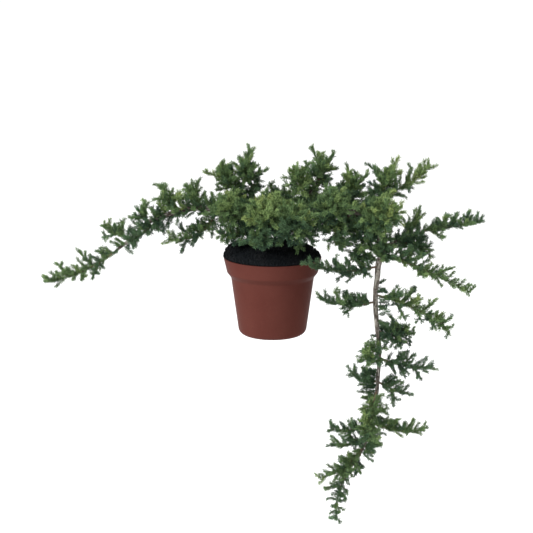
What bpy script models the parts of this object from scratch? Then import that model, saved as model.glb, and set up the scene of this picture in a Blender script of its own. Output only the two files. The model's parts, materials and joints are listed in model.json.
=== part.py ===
"""A creeping juniper grown as a small bonsai in a round nursery pot.

One short trunk carries a dense crown over the pot, an arching bough on the left, and on the
right a longer one that turns down and hangs below the pot's foot. Metres, +Z up: the origin is
the centre of the pot's flat underside, +X the side of the hanging bough, -Y the front.
"""

import math
import random
from dataclasses import dataclass

import bmesh
import bpy
import numpy as np
from mathutils import Vector

MM = 0.001
GAP = 0.3 * MM  # clearance between one solid and the next
MERGE = 0.01 * MM  # points nearer than this are one

# The pot: a turned shell with a collar, drawn in to a rounded base
POT_HEIGHT = 82 * MM
POT_SIDES = 32
LIP_RADIUS = 51 * MM
LIP_ROUNDING = 0.8 * MM
COLLAR_FOOT_RADIUS = 47.4 * MM
COLLAR_FOOT_HEIGHT = 66.5 * MM
BODY_TOP_RADIUS = 43.2 * MM
BODY_TOP_HEIGHT = 61 * MM
BODY_FOOT_RADIUS = 34.9 * MM
BASE_ROUNDING = 7 * MM
BASE_ROUNDING_STEPS = 2
WALL = 1.6 * MM
DRAIN_HOLES = 5
DRAIN_RADIUS = 3.5 * MM
DRAIN_CIRCLE = 19 * MM
DRAIN_SIDES = 12

# The potting mix: heaped above the lip, steep on the left and slack on the right
HEAP_HEIGHT = 13 * MM
HEAP_RINGS = (18 * MM, 30 * MM, 40 * MM, 46 * MM)
HEAP_EDGE_RADIUS = 49.8 * MM
HEAP_STEEP = 14
HEAP_SLACK = 4.5
HEAP_LEAST = 1 * MM  # what it stands above the lip at the least
HEAP_CRUMB = 0.8 * MM
HEAP_LEVEL_RADIUS = 20 * MM  # the level ground round the trunk's foot

# The wood
TRUNK_SIDES_LEVEL = 2
BOUGH_SIDES_LEVEL = 1
ROOT_FLARE = 1.5
ROOT_FLARE_HEIGHT = 9 * MM
CUT_LEVEL = 1.5 * MM  # what stands lower than this above the soil is brought level with it
ROOT_LOBES = 4
ROOT_LOBE_DEPTH = 0.14
ROOT_LOBE_TURN = 0.6
LIMB_STEPS = 2  # rings for each leg of a limb
LIMB_SAMPLE = 1 * MM
ROOT_SEARCH_STEP = 0.05 * MM
TIP_STUB = 3  # radii that a limb runs straight on from its parent's tip
NEAR_UPRIGHT = 0.2  # sine of the angle to the upright below which a heading counts as upright

# The foliage
STEM_RADIUS = 1.2 * MM
STEM_STEPS = 4
WAIST_RADIUS = 1.1 * MM  # of a twig between two whorls of teeth
TOOTH_SPREAD = (0.65, 1.3)  # how uneven the teeth are
TOOTH_FORWARD = 0.78  # where a whorl's teeth end, as a share of its stretch of twig
TIP_STRETCH = 0.45  # the pointed end, as a share of a whorl's stretch
TIP_TAPER = 0.45  # how much shorter the last teeth are than the first
STEM_TOOTH = 7.5 * MM
STEM_STRETCH = 10 * MM
BARE_STEM = 0.5  # share of an open mass's stem that carries no teeth of its own
BARE_STEM_DENSE = 0.78
SHOOT_TOOTH = 7 * MM
SHOOT_STRETCH = 10 * MM
MOST_WHORLS = 3  # on a side shoot
FOOT_SHARES = (0.35, 0.5, 0.65, 0.82)  # of a shoot's first stretch, where its room is tested
LENGTH_TRIES = (1, 0.8, 0.6, 0.45)
ROLL_TRIES = 8
FIRST_SHOOT = 0.08
LAST_SHOOT = 0.85
LENGTH_SPREAD = (0.8, 1.1)  # how uneven the shoots are
FOOT_LENGTH = 1.1  # how long an open mass's shoots are at its foot
TIP_SHORTER = 0.45  # how much shorter they are at its tip
ROOT_SHARE = 0.45  # of a side shoot, near its stem, where it may crowd the others
APART = 6.7 * MM  # between the lines of two clothed shoots of a mass
LEAN = 55  # degrees between a stem and its side shoots
LEAN_SPREAD = 9
GOLDEN_ANGLE = 137.5
SIXTH = math.pi / 3  # each ring of a twig is turned by a sixth from the one before
SPACE_MARGIN = 0.8 * MM
LIMB_MARGIN = 1 * MM
POT_MARGIN = 1 * MM
HEAP_MARGIN = 1.2 * MM
CORE_ALONG = 0.55
CORE_ROOTS = 0.3  # how far either way along the stem a dense mass's shoots are rooted
CORE_BARE = 0.7  # how much of the core's radius a shoot stays bare
CORE_STRETCH = 1.4
CORE_SPREAD = (0.75, 1.25)  # how uneven the core's surface is
CORE_TRIES = 28
CORE_DRAW_IN = 0.9
CORE_MARGIN = 1.3 * MM
CORE_OFF_BARK = 2.8 * MM

PARTS = "juniper bonsai"
CUTTERS = "cutters"


@dataclass(frozen=True)
class Limb:
    """A tapering limb: where it leaves its parent, and its legs as (azimuth, rise, length in mm)."""

    name: str
    parent: str | None
    along: float
    radius: float
    tip_radius: float
    legs: tuple


@dataclass(frozen=True)
class Mass:
    """A mass of foliage: its stem's root and heading, and how its shoots stand on it."""

    name: str
    limb: str
    along: float  # where on the limb, from 0 at its root to 1 at its tip
    azimuth: float  # degrees from +X towards +Y
    rise: float  # degrees above the horizontal
    length: float  # of the stem, mm
    lift: float  # how far the stem's heading climbs on the way to its tip, degrees
    shoots: int
    reach: float  # of the longest shoot, mm
    up: float  # how strongly the shoots turn upwards
    core: float  # radius of the dense middle, mm, or 0 for an open mass
    tone: str
    seed: int


TRUNK_FOOT = (-10, 4)  # mm from the pot's axis

LIMBS = (
    Limb("trunk", None, 0, 6.0, 2.0,
         ((0, 90, 5), (-167, 68, 9), (-158, 79, 14), (162, 77, 14), (135, 79, 13))),
    Limb("bough_left", "trunk", 0.38, 3.6, 2.6,
         ((-158, 26, 15), (-165, 18, 20), (-165, 12, 20), (-163, 0, 17), (-165, -13, 16))),
    Limb("bough_left_outer", "bough_left", 1, 2.6, 1.5,
         ((-179, -21, 10), (-175, -27, 11), (-175, -42, 15), (-173, -44, 12), (-174, -38, 13))),
    Limb("bough_right", "trunk", 0.27, 4.6, 3.4,
         ((-19, 24, 25), (-15, 16, 29), (-13, 7, 30), (-21, -12, 23), (-23, -33, 19), (-31, -65, 13))),
    Limb("bough_cascade", "bough_right", 1, 3.4, 1.4,
         ((-168, -68, 13), (-134, -80, 16), (-142, -85, 20), (-33, -86, 26), (1, -83, 24),
          (0, -90, 24), (-180, -87, 23), (-180, -85, 24), (170, -78, 26), (172, -68, 22))),
    Limb("bough_far_right", "bough_cascade", 0.03, 2.3, 1.5,
         ((17, 16, 12), (14, 20, 13), (13, 19, 14))),
    Limb("bough_upper_right", "bough_right", 0.68, 2.4, 1.5,
         ((8, 19, 12), (21, 27, 18), (19, 25, 17))),
    Limb("bough_crown_right", "bough_right", 0.25, 2.4, 1.5,
         ((32, 55, 7), (24, 52, 16), (20, 53, 15))),
    Limb("bough_front", "trunk", 0.27, 2.6, 1.6,
         ((-66, 22, 11), (-63, 9, 18), (-64, -4, 13))),
    Limb("bough_back", "trunk", 0.5, 2.6, 1.6,
         ((82, 27, 8), (67, 13, 13), (60, 1, 12))),
)

MASSES = (
    Mass("foliage_left_tip", "bough_left_outer", 1, -179, -38, 79, 30, 7, 27, .3, 0, "fresh", 801),
    Mass("foliage_right_low_inner", "bough_right", .42, -49, -19, 38, -40, 7, 16, 0, 13, "mid", 228),
    Mass("foliage_left_outer", "bough_left_outer", .72, 184, 15, 29, 25, 6, 21, 0, 0, "mid", 203),
    Mass("foliage_left_shoulder", "bough_left_outer", .34, -169, 32, 15, 35, 7, 20, -.1, 0, "mid", 411),
    Mass("foliage_left_low_twig", "bough_left_outer", .14, -141, -31, 42, 10, 7, 17, 0, 0, "deep", 589),
    Mass("foliage_left_crest_outer", "bough_left", .93, -141, 45, 29, 25, 7, 24, .1, 0, "fresh", 1206),
    Mass("foliage_left_crest_inner", "bough_left", .66, 118, 38, 26, 15, 8, 24, 0, 0, "mid", 5),
    Mass("foliage_left_loop", "bough_left", .45, -154, -61, 64, 80, 9, 20, .1, 0, "deep", 108),
    Mass("foliage_crown_left", "trunk", .55, -166, 44, 52, 25, 8, 18, .5, 15, "mid", 409),
    Mass("foliage_crown_top", "trunk", 1, -129, 56, 29, 10, 8, 18, .5, 12, "mid", 862),
    Mass("foliage_crown_front_left", "trunk", .42, -127, 17, 49, 20, 8, 17, .2, 17, "mid", 411),
    Mass("foliage_crown_skirt_left", "trunk", .22, -136, 12, 49, -20, 6, 15, 0, 10, "deep", 645),
    Mass("foliage_crown_front", "bough_front", .9, -146, 23, 26, 40, 8, 14, .2, 16, "fresh", 613),
    Mass("foliage_crown_front_low", "bough_front", .72, -124, -3, 29, -50, 6, 14, 0, 11, "deep", 314),
    Mass("foliage_crown_front_right", "bough_front", 1, -15, 27, 20, 0, 8, 16, .2, 17, "deep", 215),
    Mass("foliage_crown_dip", "bough_right", .22, -156, 27, 13, 20, 7, 13, .1, 13, "fresh", 1416),
    Mass("foliage_crown_right_inner", "bough_crown_right", .5, -118, 41, 35, 10, 8, 14, .5, 11, "fresh", 31),
    Mass("foliage_crown_right_top", "bough_crown_right", 1, 64, 59, 12, 15, 8, 15, .5, 11, "mid", 818),
    Mass("foliage_crown_skirt_right", "bough_right", .14, -45, -4, 35, -30, 6, 14, .1, 11, "deep", 1319),
    Mass("foliage_crown_back_left", "trunk", .72, 157, -11, 31, 15, 8, 24, .3, 16, "mid", 1520),
    Mass("foliage_crown_back", "bough_back", 1, 60, -9, 37, 10, 8, 15, 0, 14, "mid", 347),
    Mass("foliage_crown_back_low", "bough_back", .45, 108, -19, 38, -35, 7, 17, .1, 14, "deep", 922),
    Mass("foliage_crown_back_right", "bough_right", .3, 72, -6, 53, 20, 8, 20, .4, 16, "mid", 1523),
    Mass("foliage_right_top", "bough_right", .62, 56, 43, 28, 20, 8, 18, .5, 14, "mid", 824),
    Mass("foliage_right_front", "bough_right", .48, -74, 11, 36, 30, 8, 17, .3, 16, "mid", 1425),
    Mass("foliage_right_front_low", "bough_right", .64, -33, -47, 47, -40, 8, 16, 0, 15, "mid", 477),
    Mass("foliage_right_front_outer", "bough_right", .76, -50, -1, 33, 35, 8, 14, .2, 16, "fresh", 527),
    Mass("foliage_right_back", "bough_right", .6, 74, -20, 47, 15, 7, 18, .4, 16, "mid", 1229),
    Mass("foliage_upper_right", "bough_upper_right", .45, 32, 56, 24, 10, 7, 15, .3, 11, "mid", 1130),
    Mass("foliage_upper_right_tip", "bough_upper_right", 1, 2, 23, 39, 30, 7, 20, 0, 0, "fresh", 131),
    Mass("foliage_far_right_inner", "bough_far_right", .45, 30, 43, 29, 25, 6, 18, .1, 0, "deep", 32),
    Mass("foliage_far_right_tip", "bough_far_right", 1, 3, 7, 59, 5, 8, 22, .3, 0, "mid", 33),
    Mass("foliage_right_low", "bough_far_right", .3, 29, -10, 24, -15, 7, 14, .1, 11, "deep", 1434),
    Mass("foliage_low_right_tip", "bough_cascade", .06, -12, -18, 94, -8, 7, 24, .1, 0, "fresh", 535),
    Mass("foliage_hanging_left_1", "bough_cascade", .12, -161, -10, 76, 34, 8, 20, .2, 0, "deep", 536),
    Mass("foliage_hanging_left_2", "bough_cascade", .28, -170, -12, 58, 40, 8, 20, .3, 0, "deep", 1337),
    Mass("foliage_hanging_right_1", "bough_cascade", .25, -8, -10, 84, -35, 9, 28, .4, 0, "mid", 938),
    Mass("foliage_hanging_right_2", "bough_cascade", .41, 21, -31, 29, 50, 7, 16, 0, 11, "deep", 1439),
    Mass("foliage_hanging_front", "bough_cascade", .49, -129, -9, 22, -30, 6, 10, 0, 9, "mid", 20),
    Mass("foliage_hanging_right_3", "bough_cascade", .54, -2, -22, 55, 25, 8, 20, .1, 0, "deep", 1141),
    Mass("foliage_hanging_right_4", "bough_cascade", .65, -4, -32, 30, 25, 6, 20, 0, 0, "deep", 242),
    Mass("foliage_hanging_left_3", "bough_cascade", .65, -168, -3, 31, 60, 6, 20, 0, 0, "deep", 243),
    Mass("foliage_hanging_sleeve", "bough_cascade", .69, -114, -46, 51, -25, 8, 15, 0, 9, "fresh", 306),
    Mass("foliage_hanging_right_5", "bough_cascade", .85, -3, -19, 54, 25, 8, 20, .2, 0, "fresh", 1145),
    Mass("foliage_hanging_left_4", "bough_cascade", .86, -172, -16, 42, 30, 6, 20, 0, 0, "deep", 1446),
    Mass("foliage_hanging_left_5", "bough_cascade", .93, 161, -28, 37, 30, 6, 18, 0, 0, "mid", 1547),
    Mass("foliage_hanging_left_6", "bough_cascade", .97, -175, -52, 51, 40, 7, 20, 0, 0, "fresh", 1048),
    Mass("foliage_hanging_tip", "bough_cascade", 1, 165, -52, 81, -40, 8, 21, 0, 0, "fresh", 821),
)

FOLIAGE_TONES = {
    "deep": (0.035, 0.075, 0.045, 1),
    "mid": (0.060, 0.115, 0.045, 1),
    "fresh": (0.110, 0.180, 0.055, 1),
}


def heading(azimuth, rise):
    """The unit vector at this azimuth and rise, in degrees."""
    turn, climb = math.radians(azimuth), math.radians(rise)
    return Vector((math.cos(climb) * math.cos(turn), math.cos(climb) * math.sin(turn), math.sin(climb)))


def principled(name, colour, roughness, metallic=0.0):
    """A plain Principled material."""
    material = bpy.data.materials.new(name)
    material.use_nodes = True
    shader = material.node_tree.nodes["Principled BSDF"]
    shader.inputs["Base Color"].default_value = colour
    shader.inputs["Roughness"].default_value = roughness
    shader.inputs["Metallic"].default_value = metallic
    material.diffuse_color = colour
    return material


def add_object(name, data, material, collection):
    """A new object of this mesh or curve in the collection."""
    made = bpy.data.objects.new(name, data)
    data.materials.append(material)
    collection.objects.link(made)
    return made


def new_collection(name):
    """A new collection under the scene's own."""
    made = bpy.data.collections.new(name)
    bpy.context.scene.collection.children.link(made)
    return made


def evaluated_mesh(made):
    """A plain mesh of the object with its modifiers applied."""
    bpy.context.view_layer.update()
    graph = bpy.context.evaluated_depsgraph_get()
    return bpy.data.meshes.new_from_object(made.evaluated_get(graph))


def remove_object(made):
    """Deletes an object and the data that only it used."""
    data = made.data
    bpy.data.objects.remove(made)
    if isinstance(data, bpy.types.Curve):
        bpy.data.curves.remove(data)
    elif data.users == 0:
        bpy.data.meshes.remove(data)


# The pot and its filling


def screw_object(name, profile, material, collection):
    """A profile of (radius, height) pairs turned round the Z axis, outer side running down."""
    mesh = bpy.data.meshes.new(name)
    edges = [(k, k + 1) for k in range(len(profile) - 1)]
    mesh.from_pydata([(radius, 0, height) for radius, height in profile], edges, [])
    made = add_object(name, mesh, material, collection)
    screw = made.modifiers.new("turn", "SCREW")
    screw.axis = "Z"
    screw.steps = POT_SIDES
    screw.render_steps = POT_SIDES
    screw.use_merge_vertices = True
    screw.merge_threshold = MERGE
    screw.use_smooth_shade = True
    return made


def base_corner(centre_radius, centre_height, radius):
    """The rounded corner between the wall and the flat underside, from the wall inwards."""
    steps = BASE_ROUNDING_STEPS
    return [
        (centre_radius + radius * math.cos(angle), centre_height - radius * math.sin(angle))
        for angle in (math.pi / 2 * k / steps for k in range(steps + 1))
    ]


def outer_profile():
    """The pot's outside, from the lip's top edge down to the middle of its underside."""
    corner = base_corner(BODY_FOOT_RADIUS - BASE_ROUNDING, BASE_ROUNDING, BASE_ROUNDING)
    return [
        (LIP_RADIUS - LIP_ROUNDING, POT_HEIGHT),
        (LIP_RADIUS, POT_HEIGHT - LIP_ROUNDING),
        (COLLAR_FOOT_RADIUS, COLLAR_FOOT_HEIGHT),
        (BODY_TOP_RADIUS, BODY_TOP_HEIGHT),
        *corner,
        (0, 0),
    ]


def inner_profile(wall):
    """The outside drawn in by a wall, from the middle of the floor up to the lip's top edge."""
    corner = base_corner(BODY_FOOT_RADIUS - BASE_ROUNDING, BASE_ROUNDING, BASE_ROUNDING - wall)
    rising = [
        (LIP_RADIUS - wall, POT_HEIGHT),
        (COLLAR_FOOT_RADIUS - wall, COLLAR_FOOT_HEIGHT),
        (BODY_TOP_RADIUS - wall, BODY_TOP_HEIGHT),
        *corner,
        (0, wall),
    ]
    return rising[::-1]


def build_pot(collection, cutters):
    """The pot, with drain holes in a ring through its floor."""
    plastic = principled("terracotta plastic", (0.165, 0.062, 0.042, 1), 0.42)
    pot = screw_object("pot", inner_profile(WALL) + outer_profile(), plastic, collection)
    for k in range(DRAIN_HOLES):
        angle = math.tau * (k + 0.5) / DRAIN_HOLES
        spot = (DRAIN_CIRCLE * math.cos(angle), DRAIN_CIRCLE * math.sin(angle), 0)
        bpy.ops.mesh.primitive_cylinder_add(
            vertices=DRAIN_SIDES, radius=DRAIN_RADIUS, depth=6 * WALL, location=spot
        )
        cutter = bpy.context.object
        cutter.name = f"drain_{k + 1}"
        for owner in list(cutter.users_collection):
            owner.objects.unlink(cutter)
        cutters.objects.link(cutter)
        cutter.hide_render = True
        cutter.display_type = "WIRE"
        hole = pot.modifiers.new(cutter.name, "BOOLEAN")
        hole.operation = "DIFFERENCE"
        hole.object = cutter
    return pot


def heap_top(radius, angle):
    """How high the top of the potting mix is, at this distance and angle from the axis."""
    leftward = 0.5 - 0.5 * np.cos(angle)
    steepness = HEAP_SLACK + (HEAP_STEEP - HEAP_SLACK) * leftward**2
    return POT_HEIGHT + HEAP_HEIGHT * (1 - np.minimum(radius / LIP_RADIUS, 1) ** steepness)


def build_soil(collection):
    """The potting mix: it fills the pot and is heaped over the lip."""
    mix = principled("potting mix", (0.012, 0.011, 0.010, 1), 0.95)
    filling = inner_profile(WALL + GAP)[::-1]
    filling[0] = (filling[0][0], POT_HEIGHT + GAP)
    edge = [(HEAP_EDGE_RADIUS, POT_HEIGHT + 1.5 * HEAP_LEAST), (HEAP_EDGE_RADIUS - GAP, POT_HEIGHT + GAP)]
    top = [(radius, POT_HEIGHT + HEAP_HEIGHT) for radius in (0, *HEAP_RINGS)]
    turned = screw_object("soil", top + edge + filling, mix, collection)
    mesh = evaluated_mesh(turned)
    remove_object(turned)
    rng = random.Random(5)
    for vertex in mesh.vertices:
        spot = vertex.co
        radius, angle = math.hypot(spot.x, spot.y), math.atan2(spot.y, spot.x)
        crumb = rng.uniform(-HEAP_CRUMB, HEAP_CRUMB) if radius > HEAP_LEVEL_RADIUS else 0
        if spot.z > POT_HEIGHT + HEAP_LEAST:
            spot.z = max(heap_top(radius, angle) + crumb, POT_HEIGHT + HEAP_LEAST)
    return add_object("soil", mesh, mix, collection)


# The wood


def smooth_path(corners, steps):
    """A smooth curve through the corners, with this many points for each stretch."""
    points = [2 * corners[0] - corners[1], *corners, 2 * corners[-1] - corners[-2]]
    path = []
    for k in range(1, len(points) - 2):
        before, start, end, after = points[k - 1 : k + 3]
        for step in range(steps):
            t = step / steps
            path.append(
                0.5 * (2 * start + (end - before) * t
                       + (2 * before - 5 * start + 4 * end - after) * t * t
                       + (3 * start - before - 3 * end + after) * t**3)
            )
    path.append(points[-2])
    return path


def point_along(path, share):
    """The point and the heading at this share of a path's length."""
    lengths = [(b - a).length for a, b in zip(path, path[1:])]
    left = share * sum(lengths)
    for (a, b), length in zip(zip(path, path[1:]), lengths):
        if left <= length:
            return a.lerp(b, left / length), (b - a).normalized()
        left -= length
    return path[-1].copy(), (path[-1] - path[-2]).normalized()


def cross_basis(forward):
    """Two unit vectors square to forward: one level, and the other as near to up as it can be."""
    level = Vector((0, 0, 1)).cross(forward)
    if level.length < NEAR_UPRIGHT:
        level = Vector((0, 1, 0)).cross(forward)
    level.normalize()
    return level, forward.cross(level)


def ring(centre, forward, radius, sides, roll=0.0):
    """Points evenly round a centre, square to forward."""
    level, upper = cross_basis(forward)
    angles = [roll + math.tau * k / sides for k in range(sides)]
    return [centre + radius * (math.cos(angle) * level + math.sin(angle) * upper) for angle in angles]


class Wood:
    """The limbs' centre lines and radii, and how far any point lies from their bark."""

    def __init__(self):
        self.paths = {}
        self.radii = {}
        self.samples = np.empty((0, 4))

    def add(self, limb):
        """Works out one limb from its parent, and keeps it."""
        if limb.parent is None:
            start = Vector((TRUNK_FOOT[0] * MM, TRUNK_FOOT[1] * MM, POT_HEIGHT + HEAP_HEIGHT + GAP))
            corners = [start]
        else:
            corners = self.root_of(limb.parent, limb.along, heading(*limb.legs[0][:2]), limb.radius * MM)
        for azimuth, rise, length in limb.legs:
            corners.append(corners[-1] + heading(azimuth, rise) * length * MM)
        path = smooth_path(corners, LIMB_STEPS)
        count = len(path) - 1
        radii = [
            MM * (limb.radius + (limb.tip_radius - limb.radius) * k / count) for k in range(count + 1)
        ]
        if limb.parent is None:
            foot = path[0].z
            radii = [
                radius * (1 + (ROOT_FLARE - 1) * max(0, 1 - (point.z - foot) / ROOT_FLARE_HEIGHT) ** 2)
                for point, radius in zip(path, radii)
            ]
        self.paths[limb.name] = path
        self.radii[limb.name] = radii
        self.samples = np.vstack([self.samples, self.sampled(path, radii)])

    @staticmethod
    def sampled(path, radii):
        """Rows of x, y, z and radius at short steps along a limb."""
        rows = []
        for (a, b), (first, second) in zip(zip(path, path[1:]), zip(radii, radii[1:])):
            steps = max(1, math.ceil((b - a).length / LIMB_SAMPLE))
            for step in range(steps):
                share = step / steps
                rows.append((*a.lerp(b, share), first + (second - first) * share))
        rows.append((*path[-1], radii[-1]))
        return np.array(rows)

    def clearance(self, points):
        """How far each point lies outside the nearest bark."""
        spots = np.asarray(points, float).reshape(-1, 1, 3)
        reach = np.linalg.norm(spots - self.samples[:, :3], axis=2) - self.samples[:, 3]
        return reach.min(axis=1)

    def root_of(self, name, along, direction, radius):
        """The first points of a stem or limb, so that its foot is clear of the wood by the gap."""
        point, forward = point_along(self.paths[name], along)
        if along == 1:
            foot = point + forward * GAP
            return [foot, foot + forward * TIP_STUB * radius]
        distance = 0.0
        while self.clearance(ring(point + direction * distance, direction, radius, 8)).min() < GAP:
            distance += ROOT_SEARCH_STEP
        return [point + direction * distance]


def limb_curve(name, path, radii, sides_level, material, collection):
    """A round tapering limb: a curve with a bevel and filled caps."""
    curve = bpy.data.curves.new(name, "CURVE")
    curve.dimensions = "3D"
    curve.bevel_depth = 1.0
    curve.bevel_resolution = sides_level
    curve.use_fill_caps = True
    spline = curve.splines.new("POLY")
    spline.points.add(len(path) - 1)
    for target, point, radius in zip(spline.points, path, radii):
        target.co = (*point, 1)
        target.radius = radius
    return add_object(name, curve, material, collection)


def shape_root_flare(trunk, foot):
    """Draws the trunk's foot out into a few root lobes, and levels its cut."""
    for vertex in trunk.data.vertices:
        spot = vertex.co
        height = spot.z - foot.z
        if height < CUT_LEVEL:
            spot.z = foot.z
        if height < ROOT_FLARE_HEIGHT:
            angle = math.atan2(spot.y - foot.y, spot.x - foot.x)
            lobe = ROOT_LOBE_DEPTH * math.cos(ROOT_LOBES * angle + ROOT_LOBE_TURN)
            swell = 1 + lobe * (1 - height / ROOT_FLARE_HEIGHT)
            spot.x = foot.x + (spot.x - foot.x) * swell
            spot.y = foot.y + (spot.y - foot.y) * swell


def build_wood(collection):
    """The trunk and the boughs, each its own solid."""
    bark = principled("bark", (0.190, 0.135, 0.105, 1), 0.85)
    wood = Wood()
    for limb in LIMBS:
        wood.add(limb)
        level = BOUGH_SIDES_LEVEL if limb.parent else TRUNK_SIDES_LEVEL
        made = limb_curve(limb.name, wood.paths[limb.name], wood.radii[limb.name], level, bark, collection)
        if limb.parent is None:
            mesh = evaluated_mesh(made)
            remove_object(made)
            shape = bmesh.new()
            shape.from_mesh(mesh)
            bmesh.ops.remove_doubles(shape, verts=shape.verts, dist=MERGE)
            shape.to_mesh(mesh)
            shape.free()
            mesh.shade_smooth()
            trunk = add_object(limb.name, mesh, bark, collection)
            shape_root_flare(trunk, wood.paths[limb.name][0])
    return wood


# The foliage


@dataclass(frozen=True)
class Twig:
    """A twig: its line, how much of its foot is bare, its teeth's reach, its whorls of them, the
    roll of its first ring and the seed of its unevenness."""

    path: tuple
    bare: float
    tooth: float
    whorls: int
    roll: float
    seed: int


def path_length(path):
    """The length of a line of points."""
    return sum((b - a).length for a, b in zip(path, path[1:]))


def twig_rings(twig):
    """The three-pointed rings of a twig, foot first: slim waists and, between them, whorls of teeth."""
    rng = random.Random(twig.seed)
    length = path_length(twig.path)
    stretch = (length - twig.bare) / (twig.whorls + TIP_STRETCH)
    places, reached = [(0, STEM_RADIUS)], 0
    for a, b in zip(twig.path, twig.path[1:-1]):
        reached += (b - a).length
        if reached < twig.bare - WAIST_RADIUS:
            places.append((reached, WAIST_RADIUS))
    for k in range(twig.whorls):
        tooth = twig.tooth * (1 - TIP_TAPER * k / twig.whorls)
        if k or len(twig.path) > 2:
            places.append((twig.bare + stretch * k, WAIST_RADIUS))
        places.append((twig.bare + stretch * (k + TOOTH_FORWARD), tooth))
    side, rings = None, []
    for k, (distance, radius) in enumerate(places):
        centre, forward = point_along(twig.path, distance / length)
        if side is None:
            side, _ = cross_basis(forward)
        side = (side - forward * side.dot(forward)).normalized()
        other = forward.cross(side)
        points = []
        for corner in range(3):
            angle = twig.roll + k * SIXTH + math.tau * corner / 3
            reach = radius if radius <= STEM_RADIUS else radius * rng.uniform(*TOOTH_SPREAD)
            points.append(centre + reach * (math.cos(angle) * side + math.sin(angle) * other))
        rings.append(points)
    return rings


def twig_mesh(twig):
    """A closed mesh through a twig's rings, which ends in a point; each ring's corners stand
    between those of the one before."""
    shape = bmesh.new()
    levels = [[shape.verts.new(point) for point in points] for points in twig_rings(twig)]
    tip = shape.verts.new(twig.path[-1])
    shape.faces.new(levels[0][::-1])
    for lower, upper in zip(levels, levels[1:]):
        for k in range(3):
            after = (k + 1) % 3
            shape.faces.new((lower[k], lower[after], upper[k]))
            shape.faces.new((lower[after], upper[after], upper[k]))
    for k, vertex in enumerate(levels[-1]):
        shape.faces.new((vertex, levels[-1][(k + 1) % 3], tip))
    mesh = bpy.data.meshes.new("twig")
    shape.to_mesh(mesh)
    shape.free()
    return mesh


class Spaces:
    """Each mass's own space: the points that lie nearer to its stem than to any other."""

    def __init__(self, stems, wood):
        self.wood = wood
        rows, owners = [], []
        for index, path in enumerate(stems.values()):
            for a, b in zip(path, path[1:]):
                steps = max(1, math.ceil((b - a).length / LIMB_SAMPLE))
                rows += [tuple(a.lerp(b, step / steps)) for step in range(steps)]
                owners += [index] * steps
            rows.append(tuple(path[-1]))
            owners.append(index)
        self.sites = np.array(rows)
        self.owners = np.array(owners)
        self.index = {name: index for index, name in enumerate(stems)}

    def holds(self, name, points, limb_margin=LIMB_MARGIN, space_margin=SPACE_MARGIN):
        """Whether each point is in the mass's space, off the wood and clear of the pot and soil."""
        spots = np.asarray([tuple(point) for point in points])
        reach = np.linalg.norm(spots[:, None] - self.sites, axis=2)
        own = self.owners == self.index[name]
        inside = reach[:, own].min(axis=1) + space_margin < reach[:, ~own].min(axis=1)
        inside &= self.wood.clearance(spots) > limb_margin
        return inside & off_pot(spots)


def off_pot(spots):
    """Whether each point is outside the pot and above the heap of potting mix."""
    radius = np.hypot(spots[:, 0], spots[:, 1])
    over = spots[:, 2] > heap_top(radius, np.arctan2(spots[:, 1], spots[:, 0])) + HEAP_MARGIN
    return over | (radius > LIP_RADIUS + POT_MARGIN) | (spots[:, 2] < 0)


def stem_path(mass, wood):
    """The stem of a mass, from its foot against the limb to its tip."""
    first = heading(mass.azimuth, mass.rise)
    path = wood.root_of(mass.limb, mass.along, first, STEM_RADIUS)
    for step in range(STEM_STEPS):
        share = (step + 0.5) / STEM_STEPS
        forward = heading(mass.azimuth, mass.rise + mass.lift * share)
        path.append(path[-1] + forward * mass.length * MM / STEM_STEPS)
    return path


def stem_twig(mass, path, rng):
    """A mass's stem as a twig, clothed from its bare foot, or from its core, to its tip."""
    length = path_length(path)
    bare = length * (BARE_STEM_DENSE if mass.core else BARE_STEM)
    whorls = max(1, round((length - bare) / STEM_STRETCH))
    return Twig(tuple(path), bare, STEM_TOOTH, whorls, rng.uniform(0, math.tau), rng.randrange(1000))


def side_shoot(base, forward, length, bare, rng):
    """A straight side shoot."""
    whorls = min(MOST_WHORLS, max(1, round((length - bare) / SHOOT_STRETCH)))
    path = (base, base + forward * length)
    return Twig(path, bare, SHOOT_TOOTH, whorls, rng.uniform(0, math.tau), rng.randrange(1000))


def outside_points(twig):
    """Points on the outside of a twig past its bare foot, close enough to find what it meets."""
    foot, *rings = twig_rings(twig)
    points = [twig.path[-1], *(point for ring_points in rings for point in ring_points)]
    for share in FOOT_SHARES:
        points += [a.lerp(b, share) for a, b in zip(foot, rings[0])]
        points += [a.lerp(b, share) for a, b in zip(foot[1:] + foot[:1], rings[0])]
    for lower, upper in zip(rings, rings[1:]):
        points += [(a + b) / 2 for a, b in zip(lower, upper)]
        points += [(a + b) / 2 for a, b in zip(lower[1:] + lower[:1], upper)]
    return points


def leaning(forward, roll, lean, up):
    """A heading that leans off forward at this roll, turned upwards by the share up."""
    level, upper = cross_basis(forward)
    around = math.cos(roll) * level + math.sin(roll) * upper
    return (math.cos(lean) * forward + math.sin(lean) * around + Vector((0, 0, up))).normalized()


def open_headings(mass, path, rng):
    """Where an open mass's side shoots are rooted, and the headings that each may take."""
    roll = rng.uniform(0, math.tau)
    for k in range(mass.shoots):
        share = FIRST_SHOOT + (LAST_SHOOT - FIRST_SHOOT) * (k + 0.5) / mass.shoots
        base, forward = point_along(path, share)
        roll += math.radians(GOLDEN_ANGLE)
        lean = math.radians(LEAN + rng.uniform(-LEAN_SPREAD, LEAN_SPREAD))
        rolls = [roll + trial * math.radians(GOLDEN_ANGLE) / 2 for trial in range(ROLL_TRIES)]
        headings = [leaning(forward, turned, lean, mass.up) for turned in rolls]
        length = mass.reach * MM * rng.uniform(*LENGTH_SPREAD) * (FOOT_LENGTH - TIP_SHORTER * share)
        yield base, headings, length


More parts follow.
